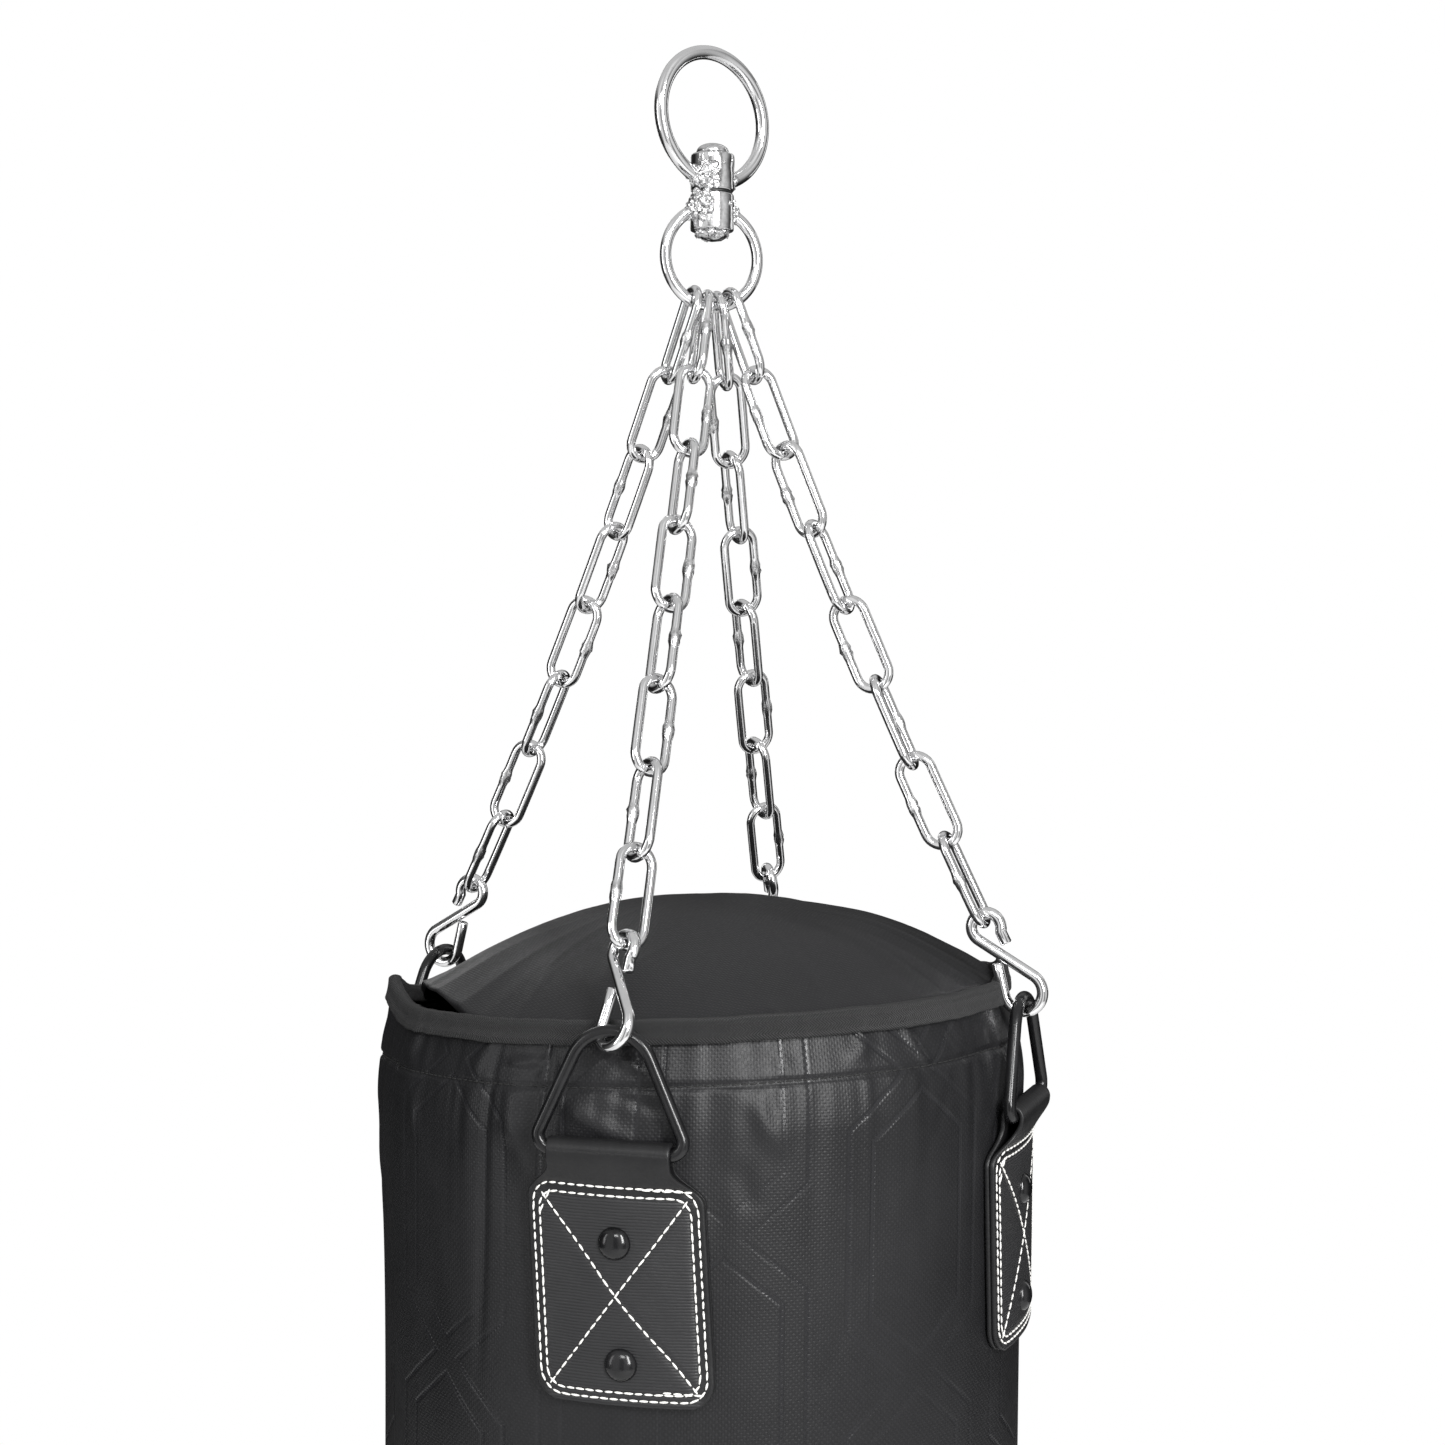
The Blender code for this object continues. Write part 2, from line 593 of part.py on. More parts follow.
def lid():
    """The domed lid: a thin skin turned down at its edge."""
    inner = LID_RADIUS - LID_WALL
    under = [(radius, z - LID_WALL) for radius, z in reversed(crown(inner))]
    foot = LID_EDGE_Z - LID_TURN_DOWN
    rim = [(LID_RADIUS, LID_EDGE_Z), (LID_RADIUS, foot), (inner, foot)]
    return turned("lid", [*crown(LID_RADIUS), *rim, *under], FABRIC)


def filling():
    """The packed textile filling, clear of the rivet plates."""
    outer = BAG_RADIUS - SHELL_WALL - PLATE_ROOM
    dome = [(radius, z - LID_WALL - FILLING_GAP) for radius, z in crown(LID_RADIUS - LID_WALL)]
    neck = dome[-1][0]
    profile = [*dome, (neck, RIM_Z - TAPE_HEIGHT), (outer, RIM_Z - SHOULDER - 2 * FILLING_GAP),
               (outer, BAG_BOTTOM + BOTTOM_WALL + FILLING_GAP),
               (0, BAG_BOTTOM + BOTTOM_WALL + FILLING_GAP)]
    return turned("filling", profile, FILLING)


def bottom_panel():
    """The round panel that closes the shell below."""
    outer = (BAG_RADIUS - SHELL_WALL) - GAP
    top = BAG_BOTTOM + BOTTOM_WALL
    return turned("bottom_panel", [(0, top), (outer, top), (outer, BAG_BOTTOM), (0, BAG_BOTTOM)], FABRIC)


# ---------------------------------------------------------------- bodies
def hang_on(name, place, prefixes):
    """Parent a body's pieces to an empty on its joint's axis."""
    empty = bpy.data.objects.new(name, None)
    empty.empty_display_size = 0.03
    PARTS.objects.link(empty)
    empty.location = place
    bpy.context.view_layer.update()
    for thing in list(PARTS.objects):
        if thing.type != "EMPTY" and thing.name.startswith(prefixes):
            thing.parent = empty
            thing.matrix_parent_inverse = empty.matrix_world.inverted()
    return empty


def build():
    open_ring("top_ring", RING_RADIUS, RING_WIRE, RING_CENTRE_Z, RING_TURN, -1, 27)
    barrel("swivel_upper_barrel", UPPER_BARREL_TOP)
    swivel_pin()
    swivel_washer()
    barrel("swivel_lower_barrel", LOWER_BARREL_TOP)
    open_ring("lower_ring", LOWER_RADIUS, LOWER_WIRE, LOWER_CENTRE_Z, LOWER_TURN, 1, 27)
    for side in SIDES:
        chain(side)
        s_hook(side)
        triangle_ring(side)
    on_every_side("tab", tab_mesh(), LEATHER)
    on_every_side("tab_rivets", rivet_mesh(), BLACK_METAL)
    bag_shell()
    rim_tape()
    lid()
    filling()
    bottom_panel()
    hang_on("swivel_axis", (0, 0, LOWER_BARREL_TOP), ("swivel_lower_barrel", "lower_ring"))
    hang_on("swing_axis", SWING_POINT, ("chain_", "s_hook", "triangle_ring", "tab", "bag_shell",
                                        "rim_tape", "lid", "filling", "bottom_panel"))
    for thing in PARTS.objects:
        if thing.type == "MESH":
            sharpen(thing)


clear_scene()
PARTS = new_collection("punching_bag")
CUTTERS = new_collection("cutters")
STEEL = make_material("zinc_steel", (0.78, 0.78, 0.79), 0.22, 1.0)
BLACK_METAL = make_material("black_metal", (0.02, 0.02, 0.02), 0.35, 0.2)
LEATHER = make_material("black_strap", (0.025, 0.025, 0.027), 0.45)
FABRIC = make_material("coated_fabric", (0.035, 0.035, 0.038), 0.5)
TAPE = make_material("woven_tape", (0.02, 0.02, 0.02), 0.8)
FILLING = make_material("textile_filling", (0.35, 0.33, 0.3), 0.95)
build()
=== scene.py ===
import math
import random
from math import cos, exp, pi, radians, sin, sqrt

import bmesh
import bpy
import numpy as np
from mathutils import Matrix, Vector, noise


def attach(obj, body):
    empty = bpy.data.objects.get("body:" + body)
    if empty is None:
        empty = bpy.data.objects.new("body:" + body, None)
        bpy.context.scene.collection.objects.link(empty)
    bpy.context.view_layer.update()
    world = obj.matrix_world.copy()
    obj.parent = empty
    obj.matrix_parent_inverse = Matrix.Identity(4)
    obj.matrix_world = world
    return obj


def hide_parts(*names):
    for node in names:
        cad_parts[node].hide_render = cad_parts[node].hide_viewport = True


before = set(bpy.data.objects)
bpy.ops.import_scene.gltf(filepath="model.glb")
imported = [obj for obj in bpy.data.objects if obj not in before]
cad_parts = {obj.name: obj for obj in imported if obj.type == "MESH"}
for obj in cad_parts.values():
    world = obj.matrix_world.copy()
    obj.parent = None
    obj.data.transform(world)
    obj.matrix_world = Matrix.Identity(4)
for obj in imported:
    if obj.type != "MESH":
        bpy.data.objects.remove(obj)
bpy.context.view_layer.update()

# ------------------------------------------------------------------ sizes, in metres
MM = 0.001
UP = Vector((0, 0, 1))

RING_WIRE, RING_RADIUS, RING_TURN = 7.5 * MM, 37.0 * MM, radians(56)
LOWER_WIRE, LOWER_RADIUS, LOWER_TURN = 6.3 * MM, 27.0 * MM, radians(36)
RING_SQUASH = 0.94                 # the top ring has been pulled a little flat
PATCH_SPREAD = {-1: 6.4 * MM, 1: 7.4 * MM}      # weld patch on the upper and the lower barrel
PATCH_LIFT = 3.0 * MM              # the lower patch sits above its ring's ends
BARREL_RADIUS = 12.0 * MM
UPPER_TOP, UPPER_FOOT = -51.2 * MM, -71.2 * MM
LOWER_TOP, LOWER_FOOT = -72.6 * MM, -92.6 * MM
RING_CENTRE = -33.25 * MM
LOWER_CENTRE = -106.7 * MM

GAP = 0.3 * MM
LINK_WIRE, LINK_INSIDE, LINK_WIDTH, LINK_COUNT = 5.0 * MM, 46.0 * MM, 23.5 * MM, 8
SEAT_GAP = 0.6 * MM
LINK_STEP = LINK_INSIDE - GAP
TWIST_LINKS = 4
HOOK_WIRE, HOOK_UPPER, HOOK_LOWER = 6.0 * MM, 8.0 * MM, 9.3 * MM
HOOK_ROUND = 10.3 * MM           # the lower bend as it was really bent
HOOK_STEP_OUT, HOOK_STEP_DOWN = 20.3 * MM, 33.7 * MM
HOOK_UPPER_TIP, HOOK_LOWER_TIP = 7.0 * MM, 17.5 * MM
HOOK_LOWER_CENTRE = 178.9 * MM
HOOK_UPPER_CENTRE = HOOK_LOWER_CENTRE - HOOK_STEP_OUT
APEX_ABOVE_BEND = -1.85 * MM
TRIANGLE_WIRE, TRIANGLE_WIDTH, TRIANGLE_RISE = 6.5 * MM, 78.0 * MM, 57.0 * MM
APEX_RADIUS, CORNER_RADIUS = 21.0 * MM, 6.5 * MM

BAG_RADIUS = 175.0 * MM
RIM_RADIUS = 164.0 * MM
BAG_LENGTH = 1200.0 * MM
RIM_BELOW_HOOKS = 31.0 * MM
SHOULDER = 55.0 * MM
BAR_RADIUS = 181.35 * MM
TAB_BACK_RADIUS = 175.3 * MM
TAB_STRAP = 2.5 * MM
TAB_WIDTH, TAB_NECK, TAB_LENGTH = 89.0 * MM, 61.0 * MM, 122.0 * MM
TAB_FOLD = 3.55 * MM + TAB_STRAP / 2      # radius of the strap's middle round the bar
RIVET_DROPS = (44.0 * MM, 102.0 * MM)
RIVET_HEAD, RIVET_DOME = 16.2 * MM, 4.9 * MM
LID_RADIUS, LID_CROWN = 159.0 * MM, 41.0 * MM

SIDES = {  # azimuth from the front, seat along the lower ring, roll of hook, roll of lower links, slack
    "front": (0, -4.5 * MM, radians(-54), radians(-50), 3.0 * MM),
    "right": (82.5, 12.0 * MM, 0.0, 0.0, 5.0 * MM),
    "back": (180, 4.5 * MM, radians(-28), radians(-45), 3.0 * MM),
    "left": (255, -12.0 * MM, 0.0, 0.0, 6.0 * MM),
}
LOWER_TANGENT = Vector((cos(LOWER_TURN), sin(LOWER_TURN), 0))


def side_axes(side):
    azimuth = radians(SIDES[side][0])
    return Vector((sin(azimuth), -cos(azimuth), 0)), Vector((cos(azimuth), sin(azimuth), 0))


def chain_line(side):
    """Start on the lower ring, direction, and the middle of the hook's wire in the last link."""
    outward, _ = side_axes(side)
    seat = SIDES[side][1] / LOWER_RADIUS
    start = LOWER_CENTRE * UP + LOWER_RADIUS * (sin(seat) * LOWER_TANGENT - cos(seat) * UP)
    reach = (LINK_COUNT * LINK_INSIDE - (LINK_COUNT - 1) * GAP - (LOWER_WIRE + HOOK_WIRE) / 2
             - SEAT_GAP - GAP)
    lean = 0.42                      # a first guess, which the loop settles
    for _ in range(12):
        top_radius = HOOK_UPPER_CENTRE - HOOK_UPPER * lean
        across = outward * top_radius - Vector((start.x, start.y, 0))
        lean = across.length / reach
    hook_top = outward * top_radius
    hook_top.z = start.z - sqrt(reach ** 2 - across.length ** 2)
    return start, (hook_top - start).normalized(), hook_top, lean


def hook_centre_z(side):
    _, _, hook_top, lean = chain_line(side)
    return hook_top.z - HOOK_UPPER * sqrt(1 - lean ** 2)


def apex_z(side):
    return hook_centre_z(side) - HOOK_STEP_DOWN + APEX_ABOVE_BEND


def bar_z(side):
    return apex_z(side) - TRIANGLE_RISE


RIM_Z = sum(hook_centre_z(side) for side in SIDES) / len(SIDES) - RIM_BELOW_HOOKS
BAG_FOOT = RIM_Z - BAG_LENGTH


# ------------------------------------------------------------------ mesh helpers
def fresh_object(name, mesh, material=None):
    thing = bpy.data.objects.new(name, mesh)
    bpy.context.scene.collection.objects.link(thing)
    if material:
        mesh.materials.append(material)
    return thing


def skin(name, rings, material, uvs=None, around=True, ends=(False, False)):
    """A surface over rows of points. Rows close round when around is set; ends may be capped."""
    rings = np.asarray(rings, dtype=float)
    rows, columns = rings.shape[:2]
    faces, corners = [], []
    steps = columns if around else columns - 1
    for i in range(rows - 1):
        for j in range(steps):
            k = (j + 1) % columns
            faces.append((i * columns + j, i * columns + k, (i + 1) * columns + k, (i + 1) * columns + j))
            corners.append(((i, j), (i, j + 1), (i + 1, j + 1), (i + 1, j)))
    if ends[0]:
        faces.append(tuple(reversed(range(columns))))
        corners.append(tuple((0, j) for j in reversed(range(columns))))
    if ends[1]:
        faces.append(tuple((rows - 1) * columns + j for j in range(columns)))
        corners.append(tuple((rows - 1, j) for j in range(columns)))
    mesh = bpy.data.meshes.new(name)
    mesh.from_pydata(rings.reshape(-1, 3).tolist(), [], faces)
    if uvs is not None:
        layer = mesh.uv_layers.new(name="cut")
        flat = [uvs[i][j] for face in corners for i, j in face]
        layer.data.foreach_set("uv", np.asarray(flat, dtype=float).ravel())
    mesh.shade_smooth()
    return fresh_object(name, mesh, material)


def tidy_normals(thing, merge=0.0):
    """Faces outwards, doubles merged if asked."""
    work = bmesh.new()
    work.from_mesh(thing.data)
    if merge:
        bmesh.ops.remove_doubles(work, verts=work.verts, dist=merge)
    bmesh.ops.recalc_face_normals(work, faces=work.faces)
    work.to_mesh(thing.data)
    work.free()
    return thing


def joined(name, things):
    """Several meshes as one object."""
    work = bmesh.new()
    materials = []
    for thing in things:
        for material in thing.data.materials:
            if material not in materials:
                materials.append(material)
        before = len(work.faces)
        work.from_mesh(thing.data)
        work.faces.ensure_lookup_table()
        places = [materials.index(m) for m in thing.data.materials]
        for face in work.faces[before:]:
            face.material_index = places[face.material_index] if places else 0
    mesh = bpy.data.meshes.new(name)
    work.to_mesh(mesh)
    work.free()
    for material in materials:
        mesh.materials.append(material)
    for thing in things:
        bpy.data.objects.remove(thing, do_unlink=True)
    return fresh_object(name, mesh)


def rope_rings(points, radii, sides, closed):
    """Round sections along a path, carried along without twist."""
    points = [Vector(p) for p in points]
    count = len(points)
    tangents = []
    for i in range(count):
        ahead = points[(i + 1) % count] if closed or i < count - 1 else points[i]
        behind = points[i - 1] if closed or i > 0 else points[i]
        tangents.append((ahead - behind).normalized())
    normal = tangents[0].orthogonal().normalized()
    rings = []
    for i in range(count):
        normal = (normal - normal.dot(tangents[i]) * tangents[i]).normalized()
        side = tangents[i].cross(normal)
        rings.append([points[i] + radii[i] * (cos(a) * normal + sin(a) * side)
                      for a in (2 * pi * j / sides for j in range(sides))])
    return rings


def bent_wire(name, points, diameter, material, closed=False, sides=20, chamfer=0.5 * MM):
    """A wire with cut, lightly chamfered ends, or a closed one."""
    radius = diameter / 2
    if closed:
        rings = rope_rings(points, [radius] * len(points), sides, True)
        rings.append(rings[0])
        thing = skin(name, rings, material)
        return tidy_normals(thing, 0.01 * MM)
    first = (Vector(points[1]) - Vector(points[0])).normalized()
    last = (Vector(points[-1]) - Vector(points[-2])).normalized()
    points = [points[0], Vector(points[0]) + first * chamfer, *points[1:-1],
              Vector(points[-1]) - last * chamfer, points[-1]]
    radii = [radius - chamfer] + [radius] * (len(points) - 2) + [radius - chamfer]
    rings = rope_rings(points, radii, sides, False)
    return tidy_normals(skin(name, rings, material, ends=(True, True)))


def arc(centre, radius, start, end, count):
    angles = (start + (end - start) * i / (count - 1) for i in range(count))
    return [(centre[0] + radius * cos(a), centre[1] + radius * sin(a)) for a in angles]


def lathe(name, profile, material, steps):
    """A (radius, z) profile, top to bottom, turned about the Z axis."""
    rings = []
    for radius, z in profile:
        turns = (2 * pi * j / steps for j in range(steps))
        rings.append([(radius * cos(a), radius * sin(a), z) for a in turns])
    return tidy_normals(skin(name, rings, material), 0.005 * MM)


def lump(name, centre, size, material, rough, seed, stretch=(1, 1, 1)):
    """An uneven bead of weld."""
    work = bmesh.new()
    bmesh.ops.create_icosphere(work, subdivisions=4, radius=1)
    for vert in work.verts:
        spot = vert.co * 1.6 + Vector((seed * 7.3, seed * 3.1, seed))
        fine = vert.co * 4.5 + Vector((seed, 0, 0))
        swell = 1 + rough * noise.noise(spot) + rough * 0.45 * noise.noise(fine)
        vert.co = Vector(vert.co[i] * size * swell * stretch[i] for i in range(3))
        vert.co += Vector(centre)
    mesh = bpy.data.meshes.new(name)
    work.to_mesh(mesh)
    work.free()
    mesh.shade_smooth()
    return fresh_object(name, mesh, material)


# ------------------------------------------------------------------ node helpers
class Bench:
    """Places nodes in one tree and wires them."""

    def __init__(self, tree):
        self.tree = tree

    def feed(self, socket, value):
        if value is None:
            return
        if isinstance(value, bpy.types.NodeSocket):
            self.tree.links.new(value, socket)
        else:
            socket.default_value = value

    def node(self, kind, named=None, **settings):
        node = self.tree.nodes.new(kind)
        for key, value in settings.items():
            setattr(node, key, value)
        for key, value in (named or {}).items():
            self.feed(node.inputs[key], value)
        return node

    def math(self, operation, *values):
        node = self.tree.nodes.new("ShaderNodeMath")
        node.operation = operation
        for socket, value in zip(node.inputs, values):
            self.feed(socket, value)
        return node.outputs[0]

    def add(self, a, b):
        return self.math("ADD", a, b)

    def sub(self, a, b):
        return self.math("SUBTRACT", a, b)

    def mul(self, a, b):
        return self.math("MULTIPLY", a, b)

    def remap(self, value, low, high, to_low=0.0, to_high=1.0, smooth=False):
        node = self.node("ShaderNodeMapRange", {0: value, 1: low, 2: high, 3: to_low, 4: to_high})
        node.interpolation_type = "SMOOTHSTEP" if smooth else "LINEAR"
        return node.outputs[0]

    def blend(self, share, a, b):
        node = self.node("ShaderNodeMix", {0: share, 6: a, 7: b}, data_type="RGBA")
        return node.outputs[2]

    def grain(self, vector, scale, detail=3.0, roughness=0.5):
        node = self.node("ShaderNodeTexNoise", {"Vector": vector, "Scale": scale, "Detail": detail,
                                                "Roughness": roughness})
        return node.outputs[0]

    def split(self, vector):
        node = self.node("ShaderNodeSeparateXYZ", {0: vector})
        return node.outputs

    def join(self, x, y, z):
        return self.node("ShaderNodeCombineXYZ", {0: x, 1: y, 2: z}).outputs[0]

def shader_group(name, takes, gives):
    """An empty shader node group with its ends in place: (tree, bench, inputs, output node)."""
    tree = bpy.data.node_groups.new(name, "ShaderNodeTree")
    for label, value in takes.items():
        kind = "NodeSocketVector" if value is None else "NodeSocketFloat"
        socket = tree.interface.new_socket(label, in_out="INPUT", socket_type=kind)
        if value is not None:
            socket.default_value = value
    for label in gives:
        kind = "NodeSocketColor" if label == "Colour" else "NodeSocketFloat"
        tree.interface.new_socket(label, in_out="OUTPUT", socket_type=kind)
    bench = Bench(tree)
    start = tree.nodes.new("NodeGroupInput")
    end = tree.nodes.new("NodeGroupOutput")
    return tree, bench, start.outputs, end.inputs


def plating_group():
    """Zinc plate on drawn wire: cloudy tone and small pits."""
    tree, b, takes, gives = shader_group(
        "zinc plate", {"Vector": None, "Scale": 1.0, "Weld": 0.0}, ("Tone", "Roughness", "Height"))
    place = b.node("ShaderNodeVectorMath", {0: takes["Vector"], 3: takes["Scale"]},
                   operation="SCALE").outputs[0]
    cloud = b.grain(place, 60.0, 4.0, 0.6)
    pits = b.remap(b.grain(place, 900.0, 2.0, 0.5), 0.60, 0.75)
    crust = b.grain(place, 420.0, 5.0, 0.7)
    tone = b.remap(cloud, 0.3, 0.75, 0.90, 1.0)
    tone = b.sub(tone, b.mul(pits, 0.12))
    burnt = b.mul(takes["Weld"], b.remap(crust, 0.42, 0.62, 0.45, 0.0))
    b.feed(gives["Tone"], b.sub(tone, burnt))
    rough = b.remap(cloud, 0.3, 0.8, 0.07, 0.17)
    rough = b.add(rough, b.mul(takes["Weld"], 0.16))
    b.feed(gives["Roughness"], rough)
    height = b.add(b.mul(cloud, 0.5), b.mul(pits, -0.03))
    b.feed(gives["Height"], b.add(height, b.mul(takes["Weld"], crust)))
    return tree


def weave_group():
    """Plain weave seen through a coating: crossed threads of a given pitch on the piece's own cut."""
    tree, b, takes, gives = shader_group(
        "weave", {"Vector": None, "Pitch": 0.001, "Slub": 0.3}, ("Height", "Wear"))
    x, y, _ = b.split(takes["Vector"])
    rate = b.math("DIVIDE", pi, takes["Pitch"])
    slub = b.mul(b.sub(b.grain(takes["Vector"], 260.0, 2.0), 0.5),
                  takes["Slub"])
    across = b.add(b.mul(x, rate), b.mul(slub, 9.0))
    along = b.add(b.mul(y, rate), b.mul(slub, -7.0))
    warp = b.math("ABSOLUTE", b.math("SINE", across))
    weft = b.math("ABSOLUTE", b.math("SINE", along))
    over = b.mul(b.math("SINE", across), b.math("SINE", along))
    height = b.add(b.mul(b.add(warp, weft), 0.35),
                    b.mul(over, 0.3))
    b.feed(gives["Height"], height)
    b.feed(gives["Wear"], b.grain(takes["Vector"], 14.0, 5.0, 0.6))
    return tree


def deboss_group():
    """Outlines of tall six-sided cells, one inside another, in a half-drop repeat."""
    tree, b, takes, gives = shader_group(
        "pressed cells", {"Vector": None, "Across": 0.105, "Down": 0.150, "Line": 0.0019}, ("Line",))
    x, y, _ = b.split(takes["Vector"])
    column = b.math("DIVIDE", x, takes["Across"])
    drop = b.mul(b.math("MODULO", b.math("FLOOR", b.add(column, 200.0)), 2.0),
                  b.mul(takes["Down"], 0.5))
    u = b.mul(b.sub(b.math("FRACT", b.add(column, 200.0)), 0.5),
               takes["Across"])
    row = b.math("DIVIDE", b.add(y, drop), takes["Down"])
    v = b.mul(b.sub(b.math("FRACT", b.add(row, 200.0)), 0.5),
               takes["Down"])
    au, av = b.math("ABSOLUTE", u), b.math("ABSOLUTE", v)
    slope = b.add(b.mul(au, 0.62), b.mul(av, 0.78))
    reach = b.math("MAXIMUM", b.sub(au, b.mul(takes["Across"], 0.40)),
                   b.sub(slope, b.mul(takes["Down"], 0.43)))
    lines = None
    for inset in (0.0, 0.013):
        ring = b.math("ABSOLUTE", b.add(reach, inset))
        mark = b.node("ShaderNodeMapRange", {0: ring, 1: takes["Line"], 2: 0.0005, 3: 0.0, 4: 1.0})
        mark.interpolation_type = "SMOOTHSTEP"
        lines = mark.outputs[0] if lines is None else b.math("MAXIMUM", lines, mark.outputs[0])
    b.feed(gives["Line"], lines)
    return tree


def material(name, colour, roughness, metallic=0.0, **sockets):
    """A Principled material: (material, bench, shader node)."""
    made = bpy.data.materials.new(name)
    made.use_nodes = True
    shader = made.node_tree.nodes["Principled BSDF"]
    shader.inputs["Base Color"].default_value = (*colour, 1)
    shader.inputs["Roughness"].default_value = roughness
    shader.inputs["Metallic"].default_value = metallic
    for label, value in sockets.items():
        shader.inputs[label.replace("_", " ")].default_value = value
    return made, Bench(made.node_tree), shader


def bump(bench, shader, height, distance, strength=1.0):
    node = bench.node("ShaderNodeBump", {"Strength": strength, "Distance": distance, "Height": height})
    bench.feed(shader.inputs["Normal"], node.outputs[0])


def placed(bench, tree, **values):
    node = bench.tree.nodes.new("ShaderNodeGroup")
    node.node_tree = tree
    for label, value in values.items():
        bench.feed(node.inputs[label], value)
    return node.outputs


def coordinates(bench):
    return bench.node("ShaderNodeTexCoord").outputs["Object"]


def tinted(bench, tone, colour):
    """A colour darkened or lightened by a tone."""
    return bench.blend(tone, (0, 0, 0, 1), (*colour, 1))


PLATING = plating_group()
WEAVE = weave_group()
DEBOSS = deboss_group()


def zinc(name, colour, weld=None):
    made, b, shader = material(name, colour, 0.16, 1.0)
    if weld is None:
        mask = 0.0
    elif isinstance(weld, str):
        mask = b.node("ShaderNodeAttribute", attribute_name=weld).outputs["Fac"]
    else:
        mask = weld
    outs = placed(b, PLATING, Vector=coordinates(b), Weld=mask)
    b.feed(shader.inputs["Base Color"], tinted(b, outs["Tone"], colour))
    b.feed(shader.inputs["Roughness"], outs["Roughness"])
    bump(b, shader, outs["Height"], 0.22 * MM, 0.6)
    return made


def black_coat(name, roughness=0.32):
    """Satin black paint on wire and rivets, rubbed a little."""
    made, b, shader = material(name, (0.012, 0.012, 0.013), roughness, 0.0, Coat_Weight=0.25)
    shader.inputs["Coat Roughness"].default_value = 0.12
    shader.inputs["Specular IOR Level"].default_value = 0.3
    where = coordinates(b)
    cloud = b.grain(where, 45.0, 4.0, 0.6)
    b.feed(shader.inputs["Base Color"], b.blend(b.remap(cloud, 0.35, 0.75), (0.003, 0.003, 0.0033, 1),
                                                (0.009, 0.009, 0.010, 1)))
    b.feed(shader.inputs["Roughness"], b.remap(cloud, 0.3, 0.7, roughness - 0.07, roughness + 0.1))
    bump(b, shader, b.grain(where, 700.0, 3.0), 0.12 * MM, 0.5)
    return made


def shell_cloth(name, pressed=True, pitch=1.5 * MM, colour=(0.0085, 0.0085, 0.0092), shine=0.40):
    """Coated bag cloth: the weave telegraphs through a satin face, with pressed cell outlines; a painted
    highlight lightens the weave's raised threads, and a painted sheen lightens the pressed lines.
    """
    made, b, shader = material(name, colour, shine)
    shader.inputs["Specular IOR Level"].default_value = 0.26
    cut = b.node("ShaderNodeUVMap", uv_map="cut").outputs[0]
    outs = placed(b, WEAVE, Vector=cut, Pitch=pitch, Slub=0.25)
    fleck = b.grain(cut, 420.0, 3.0, 0.6)
    tone = b.remap(outs["Wear"], 0.3, 0.7, 0.0, 1.0)
    dark = tuple(c * 0.80 for c in colour)
    light = tuple(c * 1.25 for c in colour)
    base = b.blend(tone, (*dark, 1), (*light, 1))
    # painted highlight and painted shade: the weave's raised threads are painted lighter, the gaps between
    # them darker
    thread = b.mul(b.remap(outs["Height"], 0.15, 0.8), 0.45)
    base = b.blend(thread, base, (*[c * 1.9 for c in colour], 1))
    rough = b.remap(outs["Wear"], 0.25, 0.75, shine - 0.05, shine + 0.07)
    rough = b.add(rough, b.remap(fleck, 0.3, 0.7, -0.04, 0.06))
    height = b.add(b.mul(outs["Height"], 0.21), b.mul(fleck, 0.06))
    if pressed:
        line = placed(b, DEBOSS, Vector=cut)["Line"]
        patch = b.remap(b.grain(cut, 9.0, 3.0, 0.6), 0.36, 0.58, 0.25, 1.0)
        line = b.mul(line, patch)
        rough = b.sub(rough, b.mul(line, 0.20))
        height = b.sub(height, b.mul(line, 0.45))
        # painted sheen: the pressed lines are painted lighter, standing in for their glossy reflection;
        # their lower roughness and sunk height above are real
        base = b.blend(b.mul(line, 0.5), base, (*[c * 2.4 for c in colour], 1))
    b.feed(shader.inputs["Base Color"], base)
    b.feed(shader.inputs["Roughness"], rough)
    bump(b, shader, height, 0.6 * MM, 0.9)
    return made


def tape_cloth():
    """Binding tape: a fine herringbone of matte yarn, painted light on the ribs' crests and dark in the
    grooves between them (painted highlight and painted shade).
    """
    made, b, shader = material("binding_tape", (0.013, 0.013, 0.013), 0.8)
    shader.inputs["Sheen Weight"].default_value = 0.05
    cut = b.node("ShaderNodeUVMap", uv_map="cut").outputs[0]
    x, y, _ = b.split(cut)
    zig = b.math("PINGPONG", y, 2.7 * MM)
    slant = b.add(b.mul(x, pi / (1.5 * MM)), b.mul(zig, pi / (1.3 * MM)))
    rib = b.math("ABSOLUTE", b.math("SINE", slant))
    fuzz = b.grain(cut, 800.0, 3.0, 0.7)
    # painted highlight and painted shade: the colour follows the ribs, light on their crests and almost
    # black in the grooves, broken up by the yarn's fuzz
    b.feed(shader.inputs["Base Color"], b.blend(b.mul(rib, b.remap(fuzz, 0.2, 0.7, 0.3, 1.0)),
                                                (0.001, 0.001, 0.001, 1), (0.040, 0.040, 0.041, 1)))
    shader.inputs["Specular IOR Level"].default_value = 0.22
    bump(b, shader, b.add(b.mul(rib, 0.8), b.mul(fuzz, 0.3)), 1.1 * MM)
    return made


